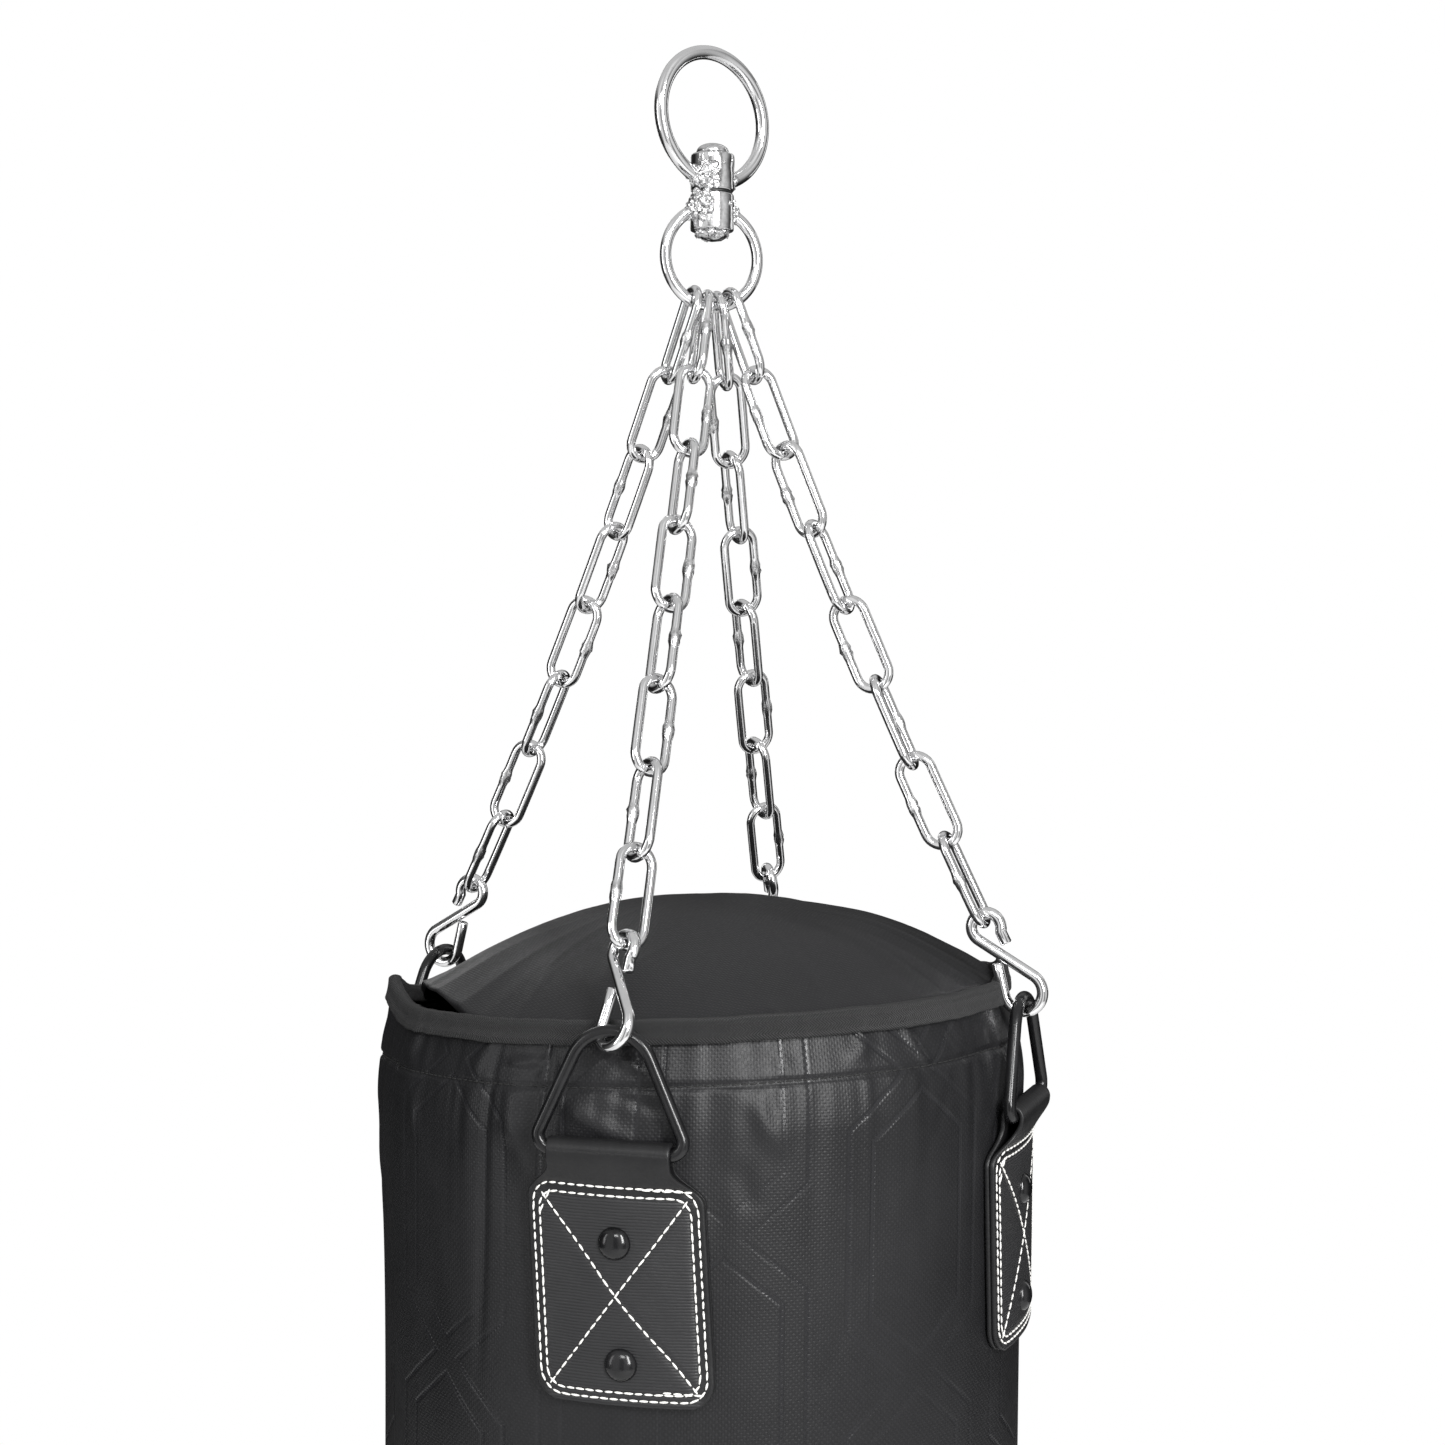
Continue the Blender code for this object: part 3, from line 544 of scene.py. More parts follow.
def strap_leather():
    """Tab strap: smooth at the neck, closely ribbed inside the stitching, with a painted highlight on the
    ribs' crests.
    """
    made, b, shader = material("tab_strap", (0.013, 0.013, 0.014), 0.38)
    cut = b.node("ShaderNodeUVMap", uv_map="cut").outputs[0]
    x, y, _ = b.split(cut)
    rib = b.math("ABSOLUTE", b.math("SINE", b.add(b.mul(y, pi / (1.5 * MM)),
                 b.mul(b.grain(cut, 60.0, 2.0), 2.2))))
    inside = b.mul(b.remap(b.math("ABSOLUTE", x), 40 * MM, 36 * MM),
                    b.remap(y, -20 * MM, -24 * MM))
    grain = b.grain(cut, 500.0, 4.0, 0.65)
    wear = b.grain(cut, 25.0, 4.0, 0.6)
    ribs = b.mul(rib, inside)
    shader.inputs["Specular IOR Level"].default_value = 0.3
    base = b.blend(b.remap(wear, 0.35, 0.7), (0.006, 0.006, 0.0065, 1), (0.012, 0.012, 0.0125, 1))
    # painted highlight: the ribs' crests are painted lighter than the grooves between them
    base = b.blend(b.mul(ribs, 0.45), base, (0.035, 0.035, 0.037, 1))
    b.feed(shader.inputs["Base Color"], base)
    b.feed(shader.inputs["Roughness"], b.remap(grain, 0.3, 0.7, 0.34, 0.52))
    bump(b, shader, b.add(b.mul(ribs, 0.5), b.mul(grain, 0.35)), 0.35 * MM)
    return made


def thread(name, colour):
    """Twisted sewing thread."""
    made, b, shader = material(name, colour, 0.7)
    where = coordinates(b)
    ply = b.grain(where, 1500.0, 2.0)
    dim = tuple(c * 0.72 for c in colour)
    b.feed(shader.inputs["Base Color"], b.blend(b.remap(ply, 0.35, 0.6), (*dim, 1), (*colour, 1)))
    bump(b, shader, ply, 0.2 * MM)
    return made


STEEL = zinc("zinc_ring", (0.86, 0.86, 0.865))
SWIVEL_STEEL = zinc("zinc_swivel", (0.82, 0.82, 0.825), weld=0.35)
WELD_STEEL = zinc("zinc_weld", (0.84, 0.84, 0.845), weld=0.8)
LINK_STEEL = zinc("zinc_link", (0.85, 0.85, 0.855), weld="weld")
BLACK_WIRE = black_coat("black_wire", 0.26)
BLACK_RIVET = black_coat("black_rivet", 0.17)
SHELL = shell_cloth("bag_cloth")
LID_CLOTH = shell_cloth("lid_cloth", pressed=False, pitch=1.4 * MM,
                        colour=(0.0095, 0.0095, 0.0102), shine=0.46)
TAPE = tape_cloth()
STRAP = strap_leather()
WHITE_THREAD = thread("white_thread", (0.78, 0.77, 0.74))
BLACK_THREAD = thread("black_thread", (0.006, 0.006, 0.006))


# ------------------------------------------------------------------ geometry node trees
def geometry_tree(name, takes):
    """An empty tree with named inputs: (tree, bench, inputs, output socket)."""
    tree = bpy.data.node_groups.new(name, "GeometryNodeTree")
    tree.interface.new_socket("Geometry", in_out="INPUT", socket_type="NodeSocketGeometry")
    kinds = {float: "NodeSocketFloat", int: "NodeSocketInt", None: "NodeSocketMaterial"}
    for label, kind in takes.items():
        tree.interface.new_socket(label, in_out="INPUT", socket_type=kinds[kind])
    tree.interface.new_socket("Geometry", in_out="OUTPUT", socket_type="NodeSocketGeometry")
    start = tree.nodes.new("NodeGroupInput")
    end = tree.nodes.new("NodeGroupOutput")
    return tree, Bench(tree), start.outputs, end.inputs[0]


def finished(b, geometry, surface, out):
    """Realize, smooth, give the material and hand out."""
    real = b.node("GeometryNodeRealizeInstances", {0: geometry}).outputs[0]
    smooth = b.node("GeometryNodeSetShadeSmooth", {0: real}).outputs[0]
    b.feed(out, b.node("GeometryNodeSetMaterial", {0: smooth, 2: surface}).outputs[0])


def chain_tree():
    """A straight length of welded long-link chain that hangs down from the origin."""
    tree, b, takes, out = geometry_tree("chain", {
        "Inside length": float, "Width": float, "Wire": float, "Links": int, "Step": float,
        "First roll": float, "Last roll": float, "Roll over": float, "Seed": float, "Steel": None})
    bend = b.mul(b.sub(takes["Width"], takes["Wire"]), 0.5)
    half = b.mul(b.add(takes["Inside length"], takes["Wire"]), 0.5)
    straight = b.sub(half, bend)
    circle = b.node("GeometryNodeCurvePrimitiveCircle", {"Resolution": 64, "Radius": bend}).outputs[0]
    x, y, _ = b.split(b.node("GeometryNodeInputPosition").outputs[0])
    z = b.add(y, b.mul(b.math("SIGN", y), straight))
    oval = b.node("GeometryNodeSetPosition", {0: circle, 2: b.join(x, 0.0, z)}).outputs[0]
    oval = b.node("GeometryNodeResampleCurve", {0: oval, "Count": 68}).outputs[0]
    x, _, z = b.split(b.node("GeometryNodeInputPosition").outputs[0])
    near = b.remap(b.math("ABSOLUTE", z), 0.0052, 0.0016, 0.0, 1.0, smooth=True)
    weld = b.mul(near, b.math("LESS_THAN", x, 0.0))
    oval = b.node("GeometryNodeStoreNamedAttribute", {0: oval, "Name": "weld", "Value": weld},
                  data_type="FLOAT", domain="POINT").outputs[0]
    section = b.node("GeometryNodeCurvePrimitiveCircle",
                     {"Resolution": 14, "Radius": b.mul(takes["Wire"], 0.5)}).outputs[0]
    link = b.node("GeometryNodeCurveToMesh", {0: oval, 1: section,
                  2: b.add(1.0, b.mul(weld, 0.16))}).outputs[0]
    down = b.join(0.0, 0.0, b.mul(takes["Step"], -1.0))
    first = b.join(0.0, 0.0, b.mul(half, -1.0))
    places = b.node("GeometryNodeMeshLine", {0: takes["Links"], 2: first, 3: down}).outputs[0]
    index = b.node("GeometryNodeInputIndex").outputs[0]
    share = b.math("MAXIMUM", b.sub(1.0, b.math("DIVIDE", index, takes["Roll over"])), 0.0)
    roll = b.add(takes["Last roll"],
                  b.mul(share, b.sub(takes["First roll"], takes["Last roll"])))
    roll = b.add(roll, b.mul(b.math("MODULO", index, 2.0), pi / 2))
    chance = b.node("ShaderNodeTexWhiteNoise", {"W": b.add(index, takes["Seed"])},
                    noise_dimensions="1D").outputs[0]
    flip = b.mul(b.math("GREATER_THAN", chance, 0.5), pi)
    loose = b.mul(b.sub(chance, 0.5), radians(7))
    turn = b.join(0.0, 0.0, b.add(b.add(roll, flip), loose))
    hung = b.node("GeometryNodeInstanceOnPoints", {0: places, 2: link, "Rotation": turn}).outputs[0]
    real = b.node("GeometryNodeRealizeInstances", {0: hung}).outputs[0]
    mask = b.node("GeometryNodeInputNamedAttribute", {0: "weld"}, data_type="FLOAT").outputs[0]
    spot = b.node("GeometryNodeInputPosition").outputs[0]
    crust = b.sub(b.grain(spot, 330.0, 3.0, 0.6), 0.42)
    push = b.node("ShaderNodeVectorMath", {0: b.node("GeometryNodeInputNormal").outputs[0],
                  3: b.mul(b.mul(mask, crust), 3.2 * MM)}, operation="SCALE")
    rough = b.node("GeometryNodeSetPosition", {0: real, 3: push.outputs[0]}).outputs[0]
    finished(b, rough, takes["Steel"], out)
    return tree


def stitch_tree():
    """Stitches of one length along curves that lie on the bag's round wall."""
    tree, b, takes, out = geometry_tree("stitches", {
        "Pitch": float, "Length": float, "Thickness": float, "Unevenness": float, "Thread": None})
    spaced = b.node("GeometryNodeResampleCurve", {0: takes["Geometry"], "Length": takes["Pitch"]},
                    mode="LENGTH").outputs[0]
    tangent = b.node("GeometryNodeInputTangent").outputs[0]
    x, y, _ = b.split(b.node("GeometryNodeInputPosition").outputs[0])
    outward = b.join(x, y, 0.0)
    index = b.node("GeometryNodeInputIndex").outputs[0]
    chance = b.node("ShaderNodeTexWhiteNoise", {"W": index}, noise_dimensions="1D").outputs[0]
    other = b.node("ShaderNodeTexWhiteNoise", {"W": b.add(index, 77.7)},
                   noise_dimensions="1D").outputs[0]
    aim = b.node("FunctionNodeAlignRotationToVector", {"Vector": tangent}, axis="X").outputs[0]
    aim = b.node("FunctionNodeAlignRotationToVector", {"Rotation": aim, "Vector": outward}, axis="Z",
                 pivot_axis="X").outputs[0]
    swing = b.mul(b.sub(chance, 0.5), b.mul(takes["Unevenness"], 0.5))
    aim = b.node("FunctionNodeRotateRotation", {0: aim, 1: b.join(0.0, 0.0, swing)},
                 rotation_space="LOCAL").outputs[0]
    ball = b.node("GeometryNodeMeshUVSphere", {0: 10, 1: 7, 2: 0.5}).outputs[0]
    stretch = b.add(1.0, b.mul(b.sub(other, 0.5), takes["Unevenness"]))
    size = b.join(b.mul(takes["Length"], stretch), takes["Thickness"],
                  b.mul(takes["Thickness"], 0.9))
    sewn = b.node("GeometryNodeInstanceOnPoints", {0: spaced, 2: ball, "Rotation": aim,
                                                   "Scale": size}).outputs[0]
    finished(b, sewn, takes["Thread"], out)
    return tree


def rivet_tree():
    """A domed rivet with a thin flange on every point, facing out from the bag."""
    tree, b, takes, out = geometry_tree("rivets", {"Head": float, "Dome": float, "Metal": None})
    x, y, _ = b.split(b.node("GeometryNodeInputPosition").outputs[0])
    aim = b.node("FunctionNodeAlignRotationToVector", {"Vector": b.join(x, y, 0.0)}, axis="Z").outputs[0]
    ball = b.node("GeometryNodeMeshUVSphere", {0: 32, 1: 20, 2: 0.5}).outputs[0]
    squeeze = b.join(takes["Head"], takes["Head"], b.mul(takes["Dome"], 2.0))
    dome = b.node("GeometryNodeTransform", {"Geometry": ball, "Scale": squeeze}).outputs[0]
    ring = b.node("GeometryNodeCurvePrimitiveCircle",
                  {"Resolution": 40, "Radius": b.mul(takes["Head"], 0.48)}).outputs[0]
    lip = b.node("GeometryNodeCurvePrimitiveCircle", {"Resolution": 8, "Radius": 0.45 * MM}).outputs[0]
    flange = b.node("GeometryNodeCurveToMesh", {0: ring, 1: lip}).outputs[0]
    both = b.node("GeometryNodeJoinGeometry")
    b.feed(both.inputs[0], flange)
    b.feed(both.inputs[0], dome)
    put = b.node("GeometryNodeInstanceOnPoints", {0: takes["Geometry"], 2: both.outputs[0],
                                                  "Rotation": aim}).outputs[0]
    finished(b, put, takes["Metal"], out)
    return tree


def grown(name, base, tree, **values):
    """The plain mesh that a geometry node tree makes from a base object."""
    modifier = base.modifiers.new(tree.name, "NODES")
    modifier.node_group = tree
    for item in tree.interface.items_tree:
        label = item.name.replace(" ", "_")
        if item.in_out == "INPUT" and label in values:
            modifier[item.identifier] = values[label]
    graph = bpy.context.evaluated_depsgraph_get()
    mesh = bpy.data.meshes.new_from_object(base.evaluated_get(graph))
    mesh.name = name
    bpy.data.objects.remove(base, do_unlink=True)
    return fresh_object(name, mesh)


def seed_point(name):
    mesh = bpy.data.meshes.new(name)
    mesh.from_pydata([(0, 0, 0)], [], [])
    return fresh_object(name, mesh)


def seam_curve(name, runs):
    """Curves through runs of points, each (points, closed)."""
    curve = bpy.data.curves.new(name, "CURVE")
    curve.dimensions = "3D"
    for points, closed in runs:
        spline = curve.splines.new("POLY")
        spline.points.add(len(points) - 1)
        for place, point in zip(spline.points, points):
            place.co = (*point, 1)
        spline.use_cyclic_u = closed
    return fresh_object(name, curve)


CHAIN_TREE = chain_tree()
STITCH_TREE = stitch_tree()
RIVET_TREE = rivet_tree()


# ------------------------------------------------------------------ hanger and swivel
def welded_ring(name, radius, diameter, centre, turn, upward, body, node):
    """A ring whose cut ends are welded to the barrel's sides."""
    tangent = Vector((cos(turn), sin(turn), 0))
    reach = BARREL_RADIUS + 0.3 * MM
    half_gap = math.asin(reach / radius)
    middle = pi / 2 * upward
    points = []
    for i in range(97):
        a = middle + half_gap + (2 * pi - 2 * half_gap) * i / 96
        spot = Vector((0, 0, centre)) + radius * (cos(a) * tangent + sin(a) * UP)
        if upward < 0:
            spot.z *= RING_SQUASH
        points.append(spot)
    wire = bent_wire(name + "_wire", points, diameter, STEEL, sides=24)
    parts = [wire]
    for index, end in enumerate((points[0], points[-1])):
        side = math.copysign(1, end.dot(tangent))
        for bead in range(5):
            around = (bead - 2) * 1.05
            spot = end + tangent * side * 0.6 * MM
            spot += (cos(around * 1.3) * diameter * 0.42) * UP * (1 if bead % 2 else -1)
            spot += tangent.cross(UP) * sin(around * 1.3) * diameter * 0.42
            parts.append(lump(f"{name}_bead_{index}_{bead}", spot, diameter * 0.36, WELD_STEEL, 0.55,
                              index * 5 + bead + radius * 1000))
        parts.append(lump(f"{name}_fillet_{index}", end - tangent * side * 0.8 * MM, diameter * 0.62,
                          WELD_STEEL, 0.35, index + 31.0 + radius, (0.55, 0.9, 1.0)))
    # a patch of weld run over the barrel's face on one side; its last beads reach past the barrel's end
    across = tangent.cross(UP)
    facing = (-tangent + across * 0.75).normalized()
    level = points[0].z if upward < 0 else points[0].z + PATCH_LIFT
    patch = facing * (BARREL_RADIUS - 0.4 * MM) + UP * level
    for bead in range(16):
        ringed = bead * 2.4
        spread = PATCH_SPREAD[upward] * sqrt((bead + 0.4) / 16)
        side_way = facing.cross(UP)
        spot = patch + side_way * spread * cos(ringed) + UP * spread * sin(ringed)
        flat = Vector((spot.x, spot.y, 0)).normalized() * (BARREL_RADIUS + 0.1 * MM)
        spot = Vector((flat.x, flat.y, spot.z))
        parts.append(lump(f"{name}_patch_{bead}", spot, (2.0 + 0.9 * ((bead * 0.61) % 1)) * MM, WELD_STEEL,
                          0.45, bead + radius * 900))
    ring = joined(name, parts)
    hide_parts(node)
    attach(ring, body)


def swivel_barrel(name, top, foot, body, node, seed):
    """A short barrel with softened edges and a few spatters."""
    r = BARREL_RADIUS
    edge = 1.3 * MM
    profile = [(4.0 * MM, top - 0.2 * MM), (r - 2.6 * MM, top)]
    profile += [(r - edge + edge * sin(a), top - edge + edge * cos(a)) for a in np.linspace(0, pi / 2, 7)]
    for share in np.linspace(0.1, 0.9, 15):
        profile.append((r, top - edge + (foot - top + 2 * edge) * share))
    profile += [(r - edge + edge * cos(a), foot + edge - edge * sin(a)) for a in np.linspace(0, pi / 2, 7)]
    profile += [(r - 2.6 * MM, foot), (4.0 * MM, foot + 0.2 * MM)]
    rings = [[(radius * cos(a), radius * sin(a), z) for a in np.linspace(0, 2 * pi, 97)[:-1]]
             for radius, z in profile]
    body_mesh = skin(name + "_body", rings, SWIVEL_STEEL, ends=(True, True))
    tidy_normals(body_mesh)
    for vert in body_mesh.data.vertices:
        out = Vector((vert.co.x, vert.co.y, 0)).normalized()
        vert.co += out * 0.25 * MM * noise.noise(vert.co * 160 + Vector((seed, 0, 0)))
    parts = [body_mesh]
    for i in range(9):
        a = seed + i * 2.4
        z = foot + (top - foot) * (0.12 + 0.76 * ((i * 0.37 + seed * 0.13) % 1))
        spot = Vector((r * cos(a), r * sin(a), z))
        parts.append(lump(f"{name}_spatter_{i}", spot, (0.7 + 0.5 * ((i * 0.61) % 1)) * MM, WELD_STEEL, 0.5,
                          seed + i))
    piece = joined(name, parts)
    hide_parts(node)
    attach(piece, body)


def swivel_pin():
    """The pin's domed head above and its hammered tail below."""
    head = 8.9 * MM
    top = UPPER_TOP + 1.5 * MM
    profile = [(head * sin(a), top + 4.6 * MM * cos(a)) for a in np.linspace(0.001, pi / 2, 14)]
    profile += [(head + 0.1 * MM, top - 0.6 * MM), (head - 0.6 * MM, top - 1.0 * MM),
                (head - 1.6 * MM, top - 1.2 * MM), (4.9 * MM, top - 1.3 * MM),
                (4.9 * MM, LOWER_FOOT + 0.3 * MM)]
    tail = 8.2 * MM
    profile += [(tail, LOWER_FOOT - 0.2 * MM), (tail + 0.3 * MM, LOWER_FOOT - 1.5 * MM),
                (tail - 0.6 * MM, LOWER_FOOT - 3.2 * MM), (tail * 0.62, LOWER_FOOT - 4.6 * MM),
                (tail * 0.3, LOWER_FOOT - 5.0 * MM), (0.001 * MM, LOWER_FOOT - 5.1 * MM)]
    pin = lathe("pin_body", profile, SWIVEL_STEEL, 72)
    for vert in pin.data.vertices:
        if vert.co.z < LOWER_FOOT:
            swell = noise.noise(vert.co * 210) * 1.1 * MM
            vert.co += Vector((vert.co.x, vert.co.y, -0.004)).normalized() * swell
    parts = [pin]
    for i in range(7):
        a = i * 0.9 + 0.4
        parts.append(lump(f"pin_bead_{i}", (7.6 * MM * cos(a), 7.6 * MM * sin(a), LOWER_FOOT - 1.2 * MM),
                          (2.0 + (i * 0.37) % 1) * MM, WELD_STEEL, 0.5, i + 3.3))
    piece = joined("swivel_pin_finished", parts)
    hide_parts("swivel_pin")
    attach(piece, "hanger")


def build_swivel():
    welded_ring("hanging_ring", RING_RADIUS, RING_WIRE, RING_CENTRE, RING_TURN, -1, "hanger", "top_ring")
    welded_ring("chain_ring", LOWER_RADIUS, LOWER_WIRE, LOWER_CENTRE, LOWER_TURN, 1, "swivel", "lower_ring")
    swivel_barrel("upper_barrel", UPPER_TOP, UPPER_FOOT, "hanger", "swivel_upper_barrel", 1.3)
    swivel_barrel("lower_barrel", LOWER_TOP, LOWER_FOOT, "swivel", "swivel_lower_barrel", 4.1)
    swivel_pin()
    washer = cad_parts["swivel_washer"]
    dark, b, shader = material("dark_washer", (0.05, 0.05, 0.05), 0.5, 1.0)
    b.feed(shader.inputs["Roughness"], b.remap(b.grain(coordinates(b), 300.0), 0.3, 0.7, 0.35, 0.6))
    for place in washer.material_slots:
        place.material = dark


# ------------------------------------------------------------------ chains, hooks, triangle rings
def build_chain(side):
    start, along, _, _ = chain_line(side)
    _, sideways = side_axes(side)
    square = (sideways - sideways.dot(along) * along).normalized()
    turned = along.cross(square)
    ring_roll = math.atan2(LOWER_TANGENT.dot(turned), LOWER_TANGENT.dot(square))
    ring_roll = (ring_roll + pi / 2) % pi - pi / 2
    top = start - along * (LOWER_WIRE / 2 + LINK_WIRE / 2 + SEAT_GAP)
    # the tree's links lie in the plane across local Y, so a link's normal is local Y
    chain = grown(f"chain_{side}", seed_point(f"chain_seed_{side}"), CHAIN_TREE,
                  Inside_length=LINK_INSIDE, Width=LINK_WIDTH, Wire=LINK_WIRE, Links=LINK_COUNT,
                  Step=LINK_STEP, First_roll=-ring_roll, Last_roll=-SIDES[side][3],
                  Roll_over=float(TWIST_LINKS), Seed=SIDES[side][0] * 0.173 + 5.0, Steel=LINK_STEEL)
    up = -along
    y_axis = square
    x_axis = y_axis.cross(up)
    place = Matrix((x_axis, y_axis, up)).transposed().to_4x4()
    place.translation = top
    chain.data.transform(place)
    # a little slack: the middle of the chain sags in towards the axis
    whole = (LINK_COUNT * LINK_STEP)
    inward = (-UP - (-UP).dot(along) * along).normalized()
    for vert in chain.data.vertices:
        share = min(1.0, max(0.0, (vert.co - top).dot(along) / whole))
        vert.co += inward * SIDES[side][4] * 4 * share * (1 - share)
    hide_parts(*[f"chain_{side}_link_{i + 1}" for i in range(LINK_COUNT)])
    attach(chain, "bag")


def hook_outline():
    lower = (HOOK_STEP_OUT, -HOOK_STEP_DOWN)
    lower = (lower[0], lower[1] + HOOK_ROUND - HOOK_LOWER)
    slope = math.atan2(lower[1], lower[0])
    tangent = slope + math.asin((HOOK_UPPER + HOOK_ROUND) / math.hypot(*lower))
    over = arc((0, 0), HOOK_UPPER, radians(-12), tangent + 1.5 * pi, 34)
    under = arc(lower, HOOK_ROUND, tangent + pi / 2, -pi + radians(14), 38)
    tip = radians(-62)
    upper_tip = (over[0][0] + HOOK_UPPER_TIP * cos(tip), over[0][1] + HOOK_UPPER_TIP * sin(tip))
    middle = tuple((a + b) / 2 for a, b in zip(over[-1], under[0]))
    splay = radians(14)
    lower_tip = (under[-1][0] - HOOK_LOWER_TIP * sin(splay), under[-1][1] + HOOK_LOWER_TIP * cos(splay))
    halfway = tuple((a + b) / 2 for a, b in zip(under[-1], lower_tip))
    return [upper_tip, *over, middle, *under, halfway, lower_tip]


def build_hook(side):
    outward, _ = side_axes(side)
    _, _, hook_top, _ = chain_line(side)
    centre = outward * HOOK_UPPER_CENTRE + UP * hook_centre_z(side)
    apex = outward * HOOK_LOWER_CENTRE + UP * apex_z(side)
    roll = Matrix.Rotation(-SIDES[side][2], 3, (hook_top - apex).normalized())
    points = [apex + roll @ (centre + outward * x + UP * z - apex) for x, z in hook_outline()]
    hook = bent_wire(f"hook_{side}", points, HOOK_WIRE, LINK_STEEL, sides=22, chamfer=0.6 * MM)
    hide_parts(f"s_hook_{side}")
    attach(hook, "bag")


def triangle_outline():
    half = TRIANGLE_WIDTH / 2 - TRIANGLE_WIRE / 2 - CORNER_RADIUS
    apex = TRIANGLE_RISE - APEX_RADIUS
    run = math.hypot(half, apex - CORNER_RADIUS)
    rise = math.atan2(apex - CORNER_RADIUS, half)
    tilt = pi / 2 - rise - math.asin((APEX_RADIUS - CORNER_RADIUS) / run)
    right = arc((half, CORNER_RADIUS), CORNER_RADIUS, -pi / 2, tilt, 16)
    top = arc((0.0, apex), APEX_RADIUS, tilt, pi - tilt, 25)
    legs = []
    for share in (0.25, 0.5, 0.75):
        legs.append(tuple(a + (b - a) * share for a, b in zip(right[-1], top[0])))
    left = [(-x, y) for x, y in reversed(right)]
    bar = [(-half * share, 0.0) for share in (0.66, 0.33, 0.0, -0.33, -0.66)]
    return [*right, *legs, *top, *[(-x, y) for x, y in reversed(legs)], *left, *bar]


def build_triangle(side):
    outward, sideways = side_axes(side)
    bar = outward * BAR_RADIUS + UP * bar_z(side)
    apex = outward * HOOK_LOWER_CENTRE + UP * apex_z(side)
    rise = (apex - bar).normalized()
    points = [bar + sideways * x + rise * y for x, y in triangle_outline()]
    ring = bent_wire(f"triangle_{side}", points, TRIANGLE_WIRE, BLACK_WIRE, closed=True, sides=22)
    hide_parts(f"triangle_ring_{side}")
    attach(ring, "bag")


# ------------------------------------------------------------------ hanging tabs
ROW_OUTER = (41.2 * MM, -17.0 * MM, -118.6 * MM, 11.0 * MM)   # half width, top, bottom, corner
ROW_INNER = (37.8 * MM, -21.4 * MM, -115.3 * MM, 8.5 * MM)
TAB_ASKEW = 0.062                   # every tab is sewn on a little out of plumb


def hang(thing, side):
    """Turns a piece made at the front to its own side and lifts it to the bar."""
    turn = Matrix.Rotation(radians(SIDES[side][0]), 4, "Z")
    thing.data.transform(Matrix.Translation((0, 0, bar_z(side))) @ turn)


def ease(share):
    return share * share * (3 - 2 * share)


def tab_half_width(z):
    """Half the strap's width at a height below the bar."""
    half, neck = TAB_WIDTH / 2, TAB_NECK / 2
    if z > -7 * MM:
        return neck
    if z > -24 * MM:
        return neck + (half - neck) * ease((-7 * MM - z) / (17 * MM))
    corner = 13 * MM
    left = z + TAB_LENGTH
    if left < corner:
        return half - corner + sqrt(max(corner ** 2 - (corner - left) ** 2, 0.0))
    return half


def box_distance(x, z, row):
    """Distance from a rounded stitching frame."""
    half, top, foot, corner = row
    middle = (top + foot) / 2
    qx = abs(x) - (half - corner)
    qz = abs(z - middle) - ((top - foot) / 2 - corner)
    return abs(math.hypot(max(qx, 0), max(qz, 0)) + min(max(qx, qz), 0) - corner)


def cross_distance(x, z):
    """Distance from the two crossing stitch lines inside the inner frame."""
    half, top, foot, _ = ROW_INNER
    rise = (top - foot) / 2
    middle = (top + foot) / 2
    length = math.hypot(half, rise)
    if abs(x) > half or abs(z - middle) > rise:
        return 1.0
    return min(abs(rise * x - half * (z - middle)), abs(rise * x + half * (z - middle))) / length


def tab_relief(x, z):
    """Height of the strap's face: padded between rows of stitching."""
    sunk = 0.0
    for distance in (box_distance(x, z, ROW_OUTER), box_distance(x, z, ROW_INNER), cross_distance(x, z)):
        sunk = max(sunk, exp(-(distance / (1.1 * MM)) ** 2))
    puff = 0.0
    if z < -20 * MM:
        puff = 0.5 * MM * (0.5 + 0.5 * noise.noise(Vector((x * 45, z * 45, 1.7))))
    for drop in RIVET_DROPS:
        distance = math.hypot(x, z + drop)
        puff -= 0.7 * MM * exp(-(distance / (11 * MM)) ** 2)
    return puff - 0.65 * MM * sunk


def tab_point(x, depth, z, curl):
    """A point of a tab: depth from the bag's axis, curled round the bag or flat, hanging askew."""
    x += TAB_ASKEW * max(0.0, -z - 12 * MM)
    angle = x / depth
    return (depth * sin(angle) * curl + x * (1 - curl), -depth * (1 - curl * (1 - cos(angle))), z)


def tab_curl(z):
    """How far the strap has taken the bag's curve: flat at the bar, curled below it."""
    return min(1.0, max(0.0, (-z - 4 * MM) / (14 * MM)))


def tab_front(z):
    """Radius of the front layer's middle: it comes off the bar's fold and lies down on the bag."""
    front = TAB_BACK_RADIUS + TAB_STRAP * 1.5
    share = ease(min(1.0, max(0.0, -z / (22 * MM))))
    return BAR_RADIUS + TAB_FOLD + (front - BAR_RADIUS - TAB_FOLD) * share


def on_tab(x, z, proud):
    """A point on a tab's face, proud of its outer surface, before the tab is hung on its side."""
    return tab_point(x, tab_front(z) + TAB_STRAP / 2 + proud, z, tab_curl(z))


def tab_path():
    """The folded strap's middle line as (depth, z, curl, outward): up the back, round the bar, down."""
    back = TAB_BACK_RADIUS + TAB_STRAP / 2
    path = []
    foot = -TAB_LENGTH + 0.4 * MM
    for z in np.linspace(foot, -6 * MM, 74):
        path.append((back, z, tab_curl(z), (-1, 0)))
    for a in np.linspace(pi, 0, 22):
        path.append((BAR_RADIUS + TAB_FOLD * cos(a), TAB_FOLD * sin(a), 0.0, (cos(a), sin(a))))
    for z in np.linspace(-2 * MM, foot, 84):
        path.append((tab_front(z), z, tab_curl(z), (1, 0)))
    return path


